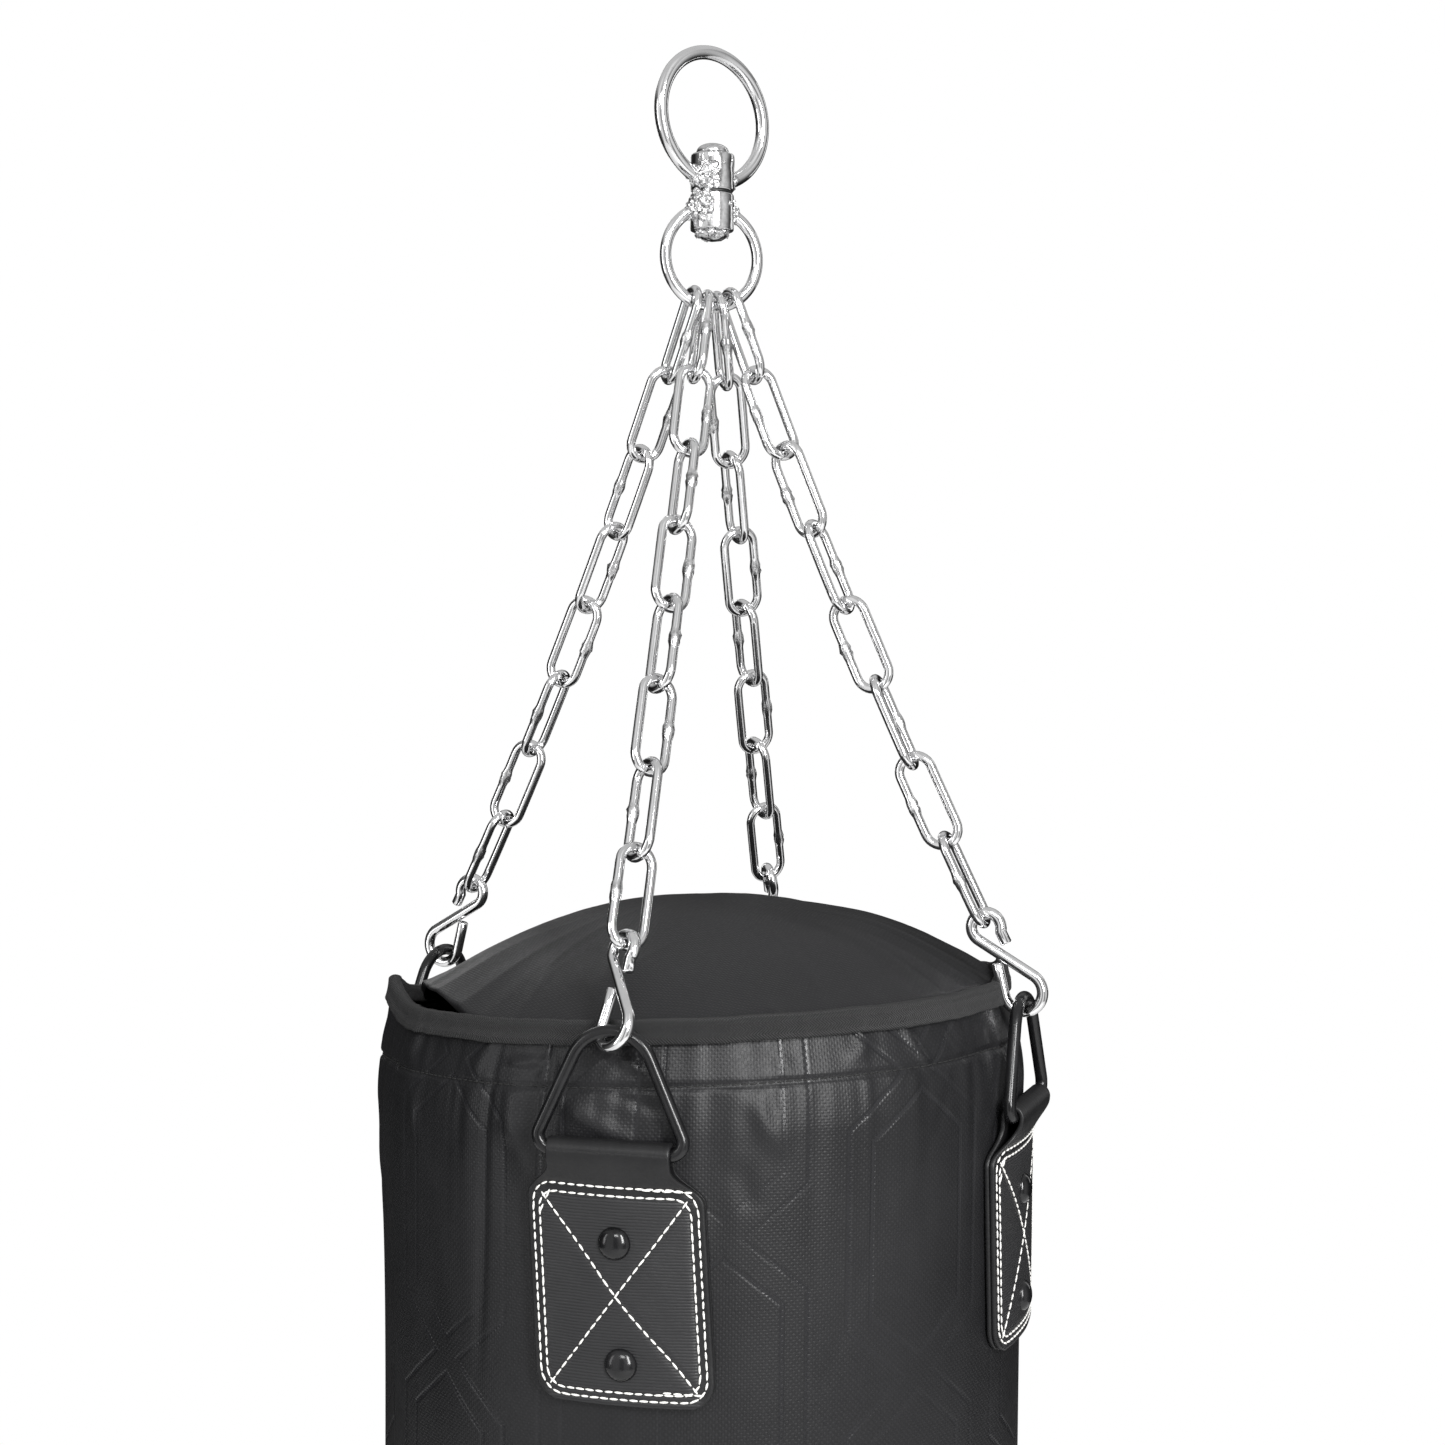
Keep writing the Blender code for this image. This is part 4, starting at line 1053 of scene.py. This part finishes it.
def build_tab(side, number):
    """One strap: a ribbon with rounded edges swept along its folded path."""
    across = 62
    rows, cuts = [], []
    half_thick = TAB_STRAP / 2 - 0.02 * MM
    run = 0.0
    last = None
    for depth, z, curl, (out_r, out_z) in tab_path():
        if last is not None:
            run += math.hypot(depth - last[0], z - last[1])
        last = (depth, z)
        half = tab_half_width(z) if z < 0 else TAB_NECK / 2
        facing = out_r if out_z == 0 else 0
        row, cut = [], []
        loop = []
        round_over = 0.9 * MM
        for j in range(across + 1):
            x = -half + round_over + 2 * (half - round_over) * j / across
            loop.append((x, 1.0))
        for a in np.linspace(pi / 2, -pi / 2, 7)[1:-1]:
            loop.append((half - round_over + round_over * cos(a), sin(a)))
        for j in range(across + 1):
            x = half - round_over - 2 * (half - round_over) * j / across
            loop.append((x, -1.0))
        for a in np.linspace(-pi / 2, -3 * pi / 2, 7)[1:-1]:
            loop.append((-half + round_over + round_over * cos(a), sin(a)))
        for x, level in loop:
            lift = half_thick * level
            if facing > 0 and level > 0:
                lift += tab_relief(x, z) * level
            if facing < 0 and level < 0:
                lift = -half_thick
            row.append(tab_point(x, depth + lift * out_r, z + lift * out_z, curl))
            cut.append((x, z if facing > 0 else (z + 0.2 if facing < 0 else run * 0.3)))
        cut.append(cut[0])
        rows.append(row)
        cuts.append(cut)
    strap = skin(f"tab_strap_{side}", rows, STRAP, uvs=cuts, ends=(True, True))
    tidy_normals(strap)
    hang(strap, side)
    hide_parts(f"tab_{side}")
    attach(strap, "bag")


def frame_run(row, proud):
    """Points round one stitching frame on the tab's face."""
    half, top, foot, corner = row
    points = []
    for cx, cz, first in ((half - corner, top - corner, 0), (-half + corner, top - corner, pi / 2),
                          (-half + corner, foot + corner, pi), (half - corner, foot + corner, 1.5 * pi)):
        for a in np.linspace(first, first + pi / 2, 10):
            points.append((cx + corner * cos(a), cz + corner * sin(a)))
    dense = []
    for i, (x, z) in enumerate(points):
        x2, z2 = points[(i + 1) % len(points)]
        steps = max(1, int(math.hypot(x2 - x, z2 - z) / (3 * MM)))
        for s in range(steps):
            dense.append((x + (x2 - x) * s / steps, z + (z2 - z) * s / steps))
    return [on_tab(x, z, proud) for x, z in dense]


def line_run(a, b, proud, wander, seed):
    points = []
    for share in np.linspace(0, 1, 34):
        x = a[0] + (b[0] - a[0]) * share
        z = a[1] + (b[1] - a[1]) * share
        drift = wander * noise.noise(Vector((share * 2.2, seed, 0.3))) * sin(pi * share)
        points.append(on_tab(x + drift, z + drift, proud))
    return points


def build_tab_stitches(side, number):
    level = -0.05 * MM
    half, top, foot, _ = ROW_INNER
    inset = 2.6 * MM
    runs = [(frame_run(ROW_OUTER, level), True), (frame_run(ROW_INNER, level), True)]
    corners = [(-half + inset, top - inset), (half - inset, foot + inset),
               (half - inset, top - inset), (-half + inset, foot + inset)]
    runs.append((line_run(corners[0], corners[1], level, 1.6 * MM, number + 0.3), False))
    runs.append((line_run(corners[2], corners[3], level, 1.6 * MM, number + 5.1), False))
    # the sewer runs back over the first stitches at two corners
    outer_half, outer_top, _, _ = ROW_OUTER
    back_tack = [(outer_half - 24 * MM, outer_top - 0.4 * MM), (outer_half - 4 * MM, outer_top - 0.9 * MM)]
    runs.append((line_run(back_tack[0], back_tack[1], level + 0.25 * MM, 0.4 * MM, 2.2), False))
    end_tack = [(half - 16 * MM, foot + 1.2 * MM), (half - 1.0 * MM, foot + 0.4 * MM)]
    runs.append((line_run(end_tack[0], end_tack[1], level + 0.25 * MM, 0.5 * MM, 4.2), False))
    first_tack = [(-half + 1 * MM, top - 9 * MM), (-half + 5 * MM, top - 1.5 * MM)]
    runs.append((line_run(first_tack[0], first_tack[1], level + 0.25 * MM, 0.3 * MM, 6.2), False))
    stitches = grown(f"tab_stitches_{side}", seam_curve(f"tab_seams_{side}", runs), STITCH_TREE,
                     Pitch=4.9 * MM, Length=4.5 * MM, Thickness=1.1 * MM, Unevenness=0.26,
                     Thread=WHITE_THREAD)
    hang(stitches, side)
    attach(stitches, "bag")


def build_rivets(side):
    mesh = bpy.data.meshes.new("rivet_places")
    mesh.from_pydata([on_tab(0.0, -drop, -0.7 * MM) for drop in RIVET_DROPS], [], [])
    rivets = grown(f"rivets_{side}", fresh_object("rivet_places", mesh), RIVET_TREE,
                   Head=RIVET_HEAD, Dome=RIVET_DOME, Metal=BLACK_RIVET)
    hang(rivets, side)
    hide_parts(f"tab_rivets_{side}")
    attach(rivets, "bag")


# ------------------------------------------------------------------ bag
FACE = radians(14.3)            # azimuth about which the rim dips
ROUND = 480                     # facets round the bag
SEAM_Z = RIM_Z - 31.0 * MM
STAND_FADE = 28 * MM            # below the rim, where a raised fold of the collar has died out
FOOT_ROUND = 12 * MM
TURN_IN = 0.984                 # the wall's top edge, turned in under the tape


def dip(azimuth):
    """How far the sewn rim sags away from level, round the bag."""
    a = azimuth - FACE
    return 8.0 * MM * sin(a) + 8.5 * MM * (cos(a) - 1)


def gap_angle(azimuth, degrees_from_front):
    """Difference of two azimuths, wrapped."""
    return (azimuth - radians(degrees_from_front) + pi) % (2 * pi) - pi


def lift(azimuth):
    """Where the collar stands up in a soft fold, left and right of the front."""
    left = exp(-(gap_angle(azimuth, -73) / radians(9)) ** 2)
    right = exp(-(gap_angle(azimuth, 99) / radians(10)) ** 2)
    return 11.0 * MM * left + 8.0 * MM * right


def scattered_folds():
    """Soft folds of the slack cloth below the hem: azimuth, height, lean, half length, width, height."""
    dice = random.Random(11)
    folds = []
    for i in range(64):
        azimuth = 2 * pi * (i + dice.random()) / 64
        low = dice.random() ** 2
        folds.append((azimuth, SEAM_Z - 12 * MM - 95 * MM * low, radians(dice.uniform(-32, 32)),
                      dice.uniform(12, 40) * MM * (0.6 + low), dice.uniform(3.5, 8.0) * MM,
                      dice.uniform(-1.3, 2.3) * MM * (1 - 0.4 * low)))
    for i in range(34):                                     # short ones in the hem itself
        azimuth = 2 * pi * (i + dice.random()) / 34
        folds.append((azimuth, SEAM_Z + dice.uniform(8, 14) * MM, radians(dice.uniform(-75, 75)),
                      dice.uniform(7, 14) * MM, dice.uniform(2.5, 4.5) * MM, dice.uniform(-1.2, 1.9) * MM))
    # pulls round the front tab: a raised fold in the hem, its crease, and two slants under the ring
    folds += [(radians(-17), SEAM_Z + 11 * MM, radians(86), 11 * MM, 2.2 * MM, 1.9 * MM),
              (radians(-11.5), SEAM_Z + 4 * MM, radians(4), 9 * MM, 1.6 * MM, -1.5 * MM),
              (radians(-3), SEAM_Z - 16 * MM, radians(-62), 22 * MM, 5.0 * MM, 2.1 * MM),
              (radians(3), SEAM_Z - 6 * MM, radians(-70), 14 * MM, 3.0 * MM, -1.2 * MM),
              (radians(-4.2), SEAM_Z + 10 * MM, radians(58), 7 * MM, 1.9 * MM, 1.4 * MM),
              (radians(2.6), SEAM_Z + 10 * MM, radians(-58), 7 * MM, 1.9 * MM, 1.4 * MM),
              (radians(-24), SEAM_Z - 60 * MM, radians(2), 75 * MM, 3.0 * MM, -1.3 * MM)]
    return folds


def fold_swell(azimuth, z):
    """Sum of the folds at one place on the wall."""
    total = 0.0
    for middle, height, lean, half, width, size in FOLDS:
        across = gap_angle(azimuth, 0) - middle
        across = ((across + pi) % (2 * pi) - pi) * BAG_RADIUS
        if abs(across) > 80 * MM:
            continue
        rise = z - height
        if abs(rise) > 2.4 * half + 3 * width:
            continue
        along = rise * cos(lean) + across * sin(lean)
        beside = across * cos(lean) - rise * sin(lean)
        total += size * exp(-(beside / width) ** 2 - (along / half) ** 4)
    return total


def shell_radius(azimuth, z):
    """The stuffed wall's radius: shoulder, sewn hem with puckers below, and soft swells."""
    sag = dip(azimuth)
    drop = z - sag
    stand = lift(azimuth)
    if stand > 0.2 * MM:
        drop -= stand * min(1.0, max(0.0, 1 - (RIM_Z + sag + stand - z) / (STAND_FADE + stand)))
    share = min(1.0, max(0.0, (RIM_Z - 1 * MM - drop) / SHOULDER))
    radius = RIM_RADIUS + (BAG_RADIUS - RIM_RADIUS) * share * share * (3 - 2 * share)
    below = SEAM_Z - drop
    spot = Vector((cos(azimuth), sin(azimuth), 0))
    # a fuller band at the hem
    radius += 1.6 * MM * exp(-((below + 2 * MM) / (16 * MM)) ** 2)
    # the seam bites in
    radius -= 1.5 * MM * exp(-(below / (1.5 * MM)) ** 2)
    # puckers hang from the seam, uneven in depth and spacing
    wander = noise.noise(spot * 9) * 2.5
    depth = 0.5 + 0.8 * abs(noise.noise(spot * 6 + Vector((0, 0, 5))))
    pucker = noise.noise(Vector((cos(azimuth) * 21 + wander * 0.25, sin(azimuth) * 21, z * 4)))
    fine = noise.noise(Vector((cos(azimuth) * 46, sin(azimuth) * 46, z * 9)))
    if below > 0:
        radius += 2.5 * MM * depth * pucker * (1 - exp(-below / (3 * MM))) * exp(-below / (42 * MM))
        radius += 0.9 * MM * fine * (1 - exp(-below / (2 * MM))) * exp(-below / (13 * MM))
    else:
        radius += 1.1 * MM * depth * pucker * (1 - exp(below / (4 * MM)))
        radius += 0.35 * MM * fine * (1 - exp(below / (3 * MM)))
    # long soft folds down the wall
    fall = 1 / (1 + (max(below, 0) / (220 * MM)) ** 2)
    swell = noise.noise(Vector((cos(azimuth) * 4.2, sin(azimuth) * 4.2, z * 1.6)))
    radius += 1.5 * MM * swell * (0.35 + fall)
    radius += 1.2 * MM * noise.noise(spot * 1.3 + Vector((0, 0, z * 5.0)))
    # the lapped side seam
    lap = (azimuth - radians(-55) + pi) % (2 * pi) - pi
    across = lap * BAG_RADIUS
    radius += 1.3 * MM * (1 / (1 + exp(-across / (0.9 * MM))) - 0.5) * exp(-(across / (16 * MM)) ** 2)
    radius -= 0.8 * MM * exp(-((across + 1.5 * MM) / (1.6 * MM)) ** 2)
    # slack cloth: folds, and the fuller left side behind the front seam
    radius += fold_swell(azimuth, drop)
    radius += 5.0 * MM * exp(-(gap_angle(azimuth, -86) / radians(26)) ** 2) * \
        exp(-((drop - SEAM_Z + 5 * MM) / (70 * MM)) ** 2)
    radius += 5.5 * MM * exp(-(gap_angle(azimuth, -77) / radians(14)) ** 2) * \
        exp(-((drop - RIM_Z) / (30 * MM)) ** 2)
    # rounded foot
    foot = z - BAG_FOOT
    if foot < FOOT_ROUND:
        radius -= FOOT_ROUND - sqrt(max(FOOT_ROUND ** 2 - (FOOT_ROUND - foot) ** 2, 0))
    return radius


FOLDS = scattered_folds()


def build_shell():
    heights = [RIM_Z - 1.2 * MM]
    z = RIM_Z - 1.2 * MM
    while z > RIM_Z - 110 * MM:
        z -= 1.35 * MM
        heights.append(z)
    while z > BAG_FOOT + 24 * MM:
        z -= min(9 * MM, 1.35 * MM + (RIM_Z - 110 * MM - z) * 0.06)
        heights.append(z)
    heights += [BAG_FOOT + step * MM for step in (14, 10, 7, 4.5, 2.5, 1.0, 0.2)]
    rows, cuts = [], []
    for z in heights:
        top_share = max(0.0, 1 - (RIM_Z - z) / (300 * MM))
        row, cut = [], []
        for j in range(ROUND + 1):
            a = 2 * pi * j / ROUND
            zz = z + dip(a) * top_share + lift(a) * max(0.0, 1 - (RIM_Z - 1.2 * MM - z) / STAND_FADE)
            if j < ROUND:
                r = shell_radius(a, zz if top_share > 0 else z)
                row.append((r * sin(a), -r * cos(a), zz))
            cut.append((a * BAG_RADIUS, zz))
        rows.append(row)
        cuts.append(cut)
    # the top edge turns in under the tape
    edge, lower = ([[(x * TURN_IN, y * TURN_IN, z - drop) for x, y, z in rows[0]]]
                   for drop in (0.2 * MM, 12 * MM))
    foot_radius = math.hypot(*rows[-1][0][:2])
    wall = skin("bag_wall", lower + edge + rows, SHELL, uvs=[cuts[0], cuts[0]] + cuts)
    tidy_normals(wall)
    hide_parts("bag_shell", "filling")
    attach(wall, "bag")
    # round panel, sewn in below
    panel_rows, panel_cuts = [], []
    for share in np.linspace(0.002, 1.0, 44):
        row, cut = [], []
        for j in range(181):
            a = 2 * pi * j / 180
            r = (foot_radius - 1.5 * MM) * share
            sag = 1.2 * MM * noise.noise(Vector((r * cos(a) * 14, r * sin(a) * 14, 3.0)))
            z = BAG_FOOT + 0.9 * MM + abs(sag) * (1 - share ** 6) + 2.2 * MM * max(0, share - 0.93) / 0.07
            cut.append((r * cos(a), r * sin(a)))
            if j < 180:
                row.append((r * cos(a), r * sin(a), z))
        panel_rows.append(row)
        panel_cuts.append(cut)
    panel = skin("foot_panel", panel_rows, LID_CLOTH, uvs=panel_cuts)
    tidy_normals(panel)
    if panel.data.polygons[0].normal.z > 0:
        panel.data.flip_normals()
    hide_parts("bottom_panel")
    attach(panel, "bag")


def build_seams():
    """Black stitching along the hem and round the foot."""
    hem, foot = [], []
    for j in range(720):
        a = 2 * pi * j / 720
        z = SEAM_Z + dip(a)
        r = shell_radius(a, z) + 0.25 * MM
        hem.append((r * sin(a), -r * cos(a), z))
        z = BAG_FOOT + 13 * MM
        r = shell_radius(a, z) + 0.2 * MM
        foot.append((r * sin(a), -r * cos(a), z))
    seams = grown("bag_stitches", seam_curve("bag_seams", [(hem, True), (foot, True)]), STITCH_TREE,
                  Pitch=4.4 * MM, Length=4.0 * MM, Thickness=0.95 * MM, Unevenness=0.2, Thread=BLACK_THREAD)
    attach(seams, "bag")


def build_tape():
    """Binding tape folded over the rim, its two legs pressed flat."""
    outline = []
    outer, inner = 1.55 * MM, -4.6 * MM
    for share in np.linspace(0, 1, 10):                      # outer face, foot to top
        outline.append((outer + 1.2 * MM * (1 - share) ** 2, -11.2 * MM + 9.8 * MM * share))
    for a in np.linspace(0, pi, 9)[1:-1]:                    # rolled top edge
        outline.append(((outer + inner) / 2 + (outer - inner) / 2 * cos(a), -1.4 * MM + 1.9 * MM * sin(a)))
    for share in np.linspace(0, 1, 7):                       # inner face, top to foot
        outline.append((inner, -1.4 * MM - 8.0 * MM * share))
    outline.append((inner + 1.1 * MM, -9.4 * MM))
    outline.append((inner + 1.1 * MM, -2.6 * MM))
    outline.append((outer - 1.1 * MM, -2.6 * MM))
    outline.append((outer + 0.1 * MM, -11.2 * MM))
    lengths = [0.0]
    for a, b in zip(outline, outline[1:]):
        lengths.append(lengths[-1] + math.dist(a, b))
    rows, cuts = [], []
    for j in range(ROUND + 1):
        a = 2 * pi * j / ROUND
        wave = noise.noise(Vector((cos(a) * 5, sin(a) * 5, 2.0)))
        ripple = noise.noise(Vector((cos(a) * 19, sin(a) * 19, 7.0)))
        row, cut = [], []
        for (x, z), run in zip(outline, lengths):
            top = RIM_Z + dip(a) + lift(a)
            zz = top + z + (0.8 * wave + 0.35 * ripple) * MM
            base = shell_radius(a, top - 1.2 * MM)
            if x > 0 and z < -3 * MM:
                base = shell_radius(a, zz)
            r = base + x + (0.5 * wave + 0.35 * ripple * (1 if z < -3 * MM else 0.4)) * MM
            row.append((r * sin(a), -r * cos(a), zz))
            cut.append((a * RIM_RADIUS, run))
        cut.append((a * RIM_RADIUS, lengths[-1] + 9 * MM))
        rows.append(row)
        cuts.append(cut)
    rows[-1] = rows[0]
    tape = skin("binding_tape", rows, TAPE, uvs=cuts)
    tidy_normals(tape, 0.01 * MM)
    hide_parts("rim_tape")
    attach(tape, "bag")


def lid_gap(azimuth):
    """Where the lid's edge has pulled free of the tape, near the left front."""
    return exp(-(abs(gap_angle(azimuth, -57)) / radians(20)) ** 3)


def lid_height(x, y):
    """The stuffed lid's height: a crown, slack creases and an edge pulled up free at the left front."""
    r = math.hypot(x, y)
    a = math.atan2(x, -y)
    share = min(1.0, r / (160 * MM))
    crown = LID_CROWN * (1 - share ** 2.4)
    spot = Vector((x, y, 0))
    creases = noise.noise(Vector((cos(a) * 3.4, sin(a) * 3.4, share * 0.6))) * 4.2 * MM * share ** 2
    soft = noise.noise(spot * 15 + Vector((3, 1, 4))) * 3.4 * MM
    ridge = 1 - abs(noise.noise(Vector((cos(a) * 4.6, sin(a) * 4.6, share * 1.1 + 3))))
    fine = noise.noise(Vector((cos(a) * 10, sin(a) * 10, share * 2))) * 1.3 * MM * share ** 4
    fine += ridge ** 6 * 1.5 * MM * share ** 2
    open_edge = 9.5 * MM * lid_gap(a) * share ** 10
    return (RIM_Z - 2.5 * MM + dip(a) * share ** 2 + crown + creases + soft * (1 - share ** 6) + fine
            + open_edge)


def build_lid():
    rows, cuts = [], []
    for share in np.linspace(0.004, 1.0, 90):
        row, cut = [], []
        for j in range(ROUND + 1):
            a = 2 * pi * j / ROUND
            r = (LID_RADIUS - 4.0 * MM * lid_gap(a)) * share
            x, y = r * sin(a), -r * cos(a)
            cut.append((x * 0.7071 - y * 0.7071, x * 0.7071 + y * 0.7071))
            if j < ROUND:
                row.append((x, y, lid_height(x, y)))
        rows.append(row)
        cuts.append(cut)
    brim, skirt = [], []
    for x, y, z in rows[-1]:
        hidden = 1 - lid_gap(math.atan2(x, -y))
        brim.append((x * 1.003, y * 1.003, z - 1.2 * MM))
        skirt.append((x * (0.985 + 0.015 * hidden), y * (0.985 + 0.015 * hidden),
                      z - (2.4 + 5.0 * hidden) * MM))
    rows += [brim, skirt]
    cuts += [cuts[-1], cuts[-1]]
    cover = skin("lid_cover", rows, LID_CLOTH, uvs=cuts, ends=(True, False))
    tidy_normals(cover)
    if cover.data.polygons[10].normal.z < 0:
        cover.data.flip_normals()
    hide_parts("lid")
    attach(cover, "bag")


# ------------------------------------------------------------------ scene
def soft_box(name, azimuth, height, distance, size, power):
    """An area light that faces the object; azimuth is measured from the front."""
    data = bpy.data.lights.new(name, "AREA")
    data.shape = "RECTANGLE"
    data.size, data.size_y = size
    data.energy = power
    lamp = bpy.data.objects.new(name, data)
    bpy.context.scene.collection.objects.link(lamp)
    a = radians(azimuth)
    lamp.location = (distance * sin(a), -distance * cos(a), height)
    aim = Vector((0, 0, -0.55)) - lamp.location
    lamp.rotation_euler = aim.to_track_quat("-Z", "Y").to_euler()


CAMERA_LENS = 53.31                              # mm, on a 36 mm sensor
CAMERA_PLACE = (0.2912, -1.1425, -0.3154)
CAMERA_TURNS = ((13.91, "Z"), (87.78, "X"), (0.47, "Z"))      # pan, tilt and roll in degrees
FLOOR_RADIUS, FLOOR_Z, FLOOR_SIDES = 2.6, -1.95, 96
LAMPS = (  # name, azimuth, height, distance, size, power
    ("key", 40, 0.35, 2.5, (0.45, 2.0), 95),
    ("fill", -50, -0.1, 3.0, (0.5, 2.2), 16),
    ("overhead", 6, 0.9, 2.3, (0.9, 0.5), 24),
    ("back_left", 215, 0.3, 2.8, (0.5, 2.0), 5),
    ("back_right", 140, 0.3, 2.8, (0.5, 2.0), 5),
)


def build_scene():
    camera_data = bpy.data.cameras.new("camera")
    camera_data.sensor_width = 36.0
    camera_data.lens = CAMERA_LENS
    camera_data.clip_start = 0.01
    camera = bpy.data.objects.new("camera", camera_data)
    bpy.context.scene.collection.objects.link(camera)
    stand = Matrix.Translation(CAMERA_PLACE)
    for degrees, axis in CAMERA_TURNS:
        stand = stand @ Matrix.Rotation(radians(degrees), 4, axis)
    camera.matrix_world = stand
    bpy.context.scene.camera = camera

    floor_mesh = bpy.data.meshes.new("floor")
    floor_mesh.from_pydata([(FLOOR_RADIUS * cos(a), FLOOR_RADIUS * sin(a), FLOOR_Z)
                            for a in np.linspace(0, 2 * pi, FLOOR_SIDES + 1)[:-1]],
                           [], [tuple(range(FLOOR_SIDES))])
    floor_paint, floor_bench, floor_shader = material("floor_paint", (0.80, 0.80, 0.80), 0.9)
    speckle = floor_bench.grain(coordinates(floor_bench), 3.0, 3.0)
    floor_bench.feed(floor_shader.inputs["Base Color"],
                     floor_bench.blend(speckle, (0.78, 0.78, 0.78, 1), (0.82, 0.82, 0.82, 1)))
    floor = fresh_object("floor", floor_mesh, floor_paint)

    world = bpy.data.worlds.new("studio")
    bpy.context.scene.world = world
    world.use_nodes = True
    b = Bench(world.node_tree)
    ground = world.node_tree.nodes["Background"]
    where = b.node("ShaderNodeTexCoord").outputs["Generated"]
    x, y, z = b.split(where)
    # the studio as the metal sees it: dark behind the bag, pale around the camera, a dim ceiling
    toward = b.add(b.mul(x, -sin(FACE)), b.mul(y, cos(FACE)))
    beside = b.add(b.mul(x, cos(FACE)), b.mul(y, sin(FACE)))
    pale = b.remap(toward, 0.40, -0.55, 0.03, 0.85, smooth=True)
    bars = b.remap(b.math("SINE", b.mul(beside, 8.0)), -0.55, 0.1, 0.30, 1.0, smooth=True)
    pale = b.mul(pale, bars)
    top = b.remap(z, 0.25, 0.75, 0.0, 0.6, smooth=True)
    tone = b.math("MAXIMUM", pale, top)
    seen = b.node("ShaderNodeLightPath").outputs["Is Camera Ray"]
    tone = b.add(b.mul(tone, b.sub(1.0, seen)), seen)
    b.feed(ground.inputs["Color"], b.join(tone, tone, tone))
    ground.inputs["Strength"].default_value = 1.0

    for lamp in LAMPS:
        soft_box(*lamp)
    settings = bpy.context.scene.view_settings
    settings.view_transform = "Standard"
    settings.look = "None"


build_scene()
build_swivel()
for number, side in enumerate(SIDES):
    build_chain(side)
    build_hook(side)
    build_triangle(side)
    build_tab(side, number)
    build_tab_stitches(side, number)
    build_rivets(side)
build_shell()
build_seams()
build_tape()
build_lid()
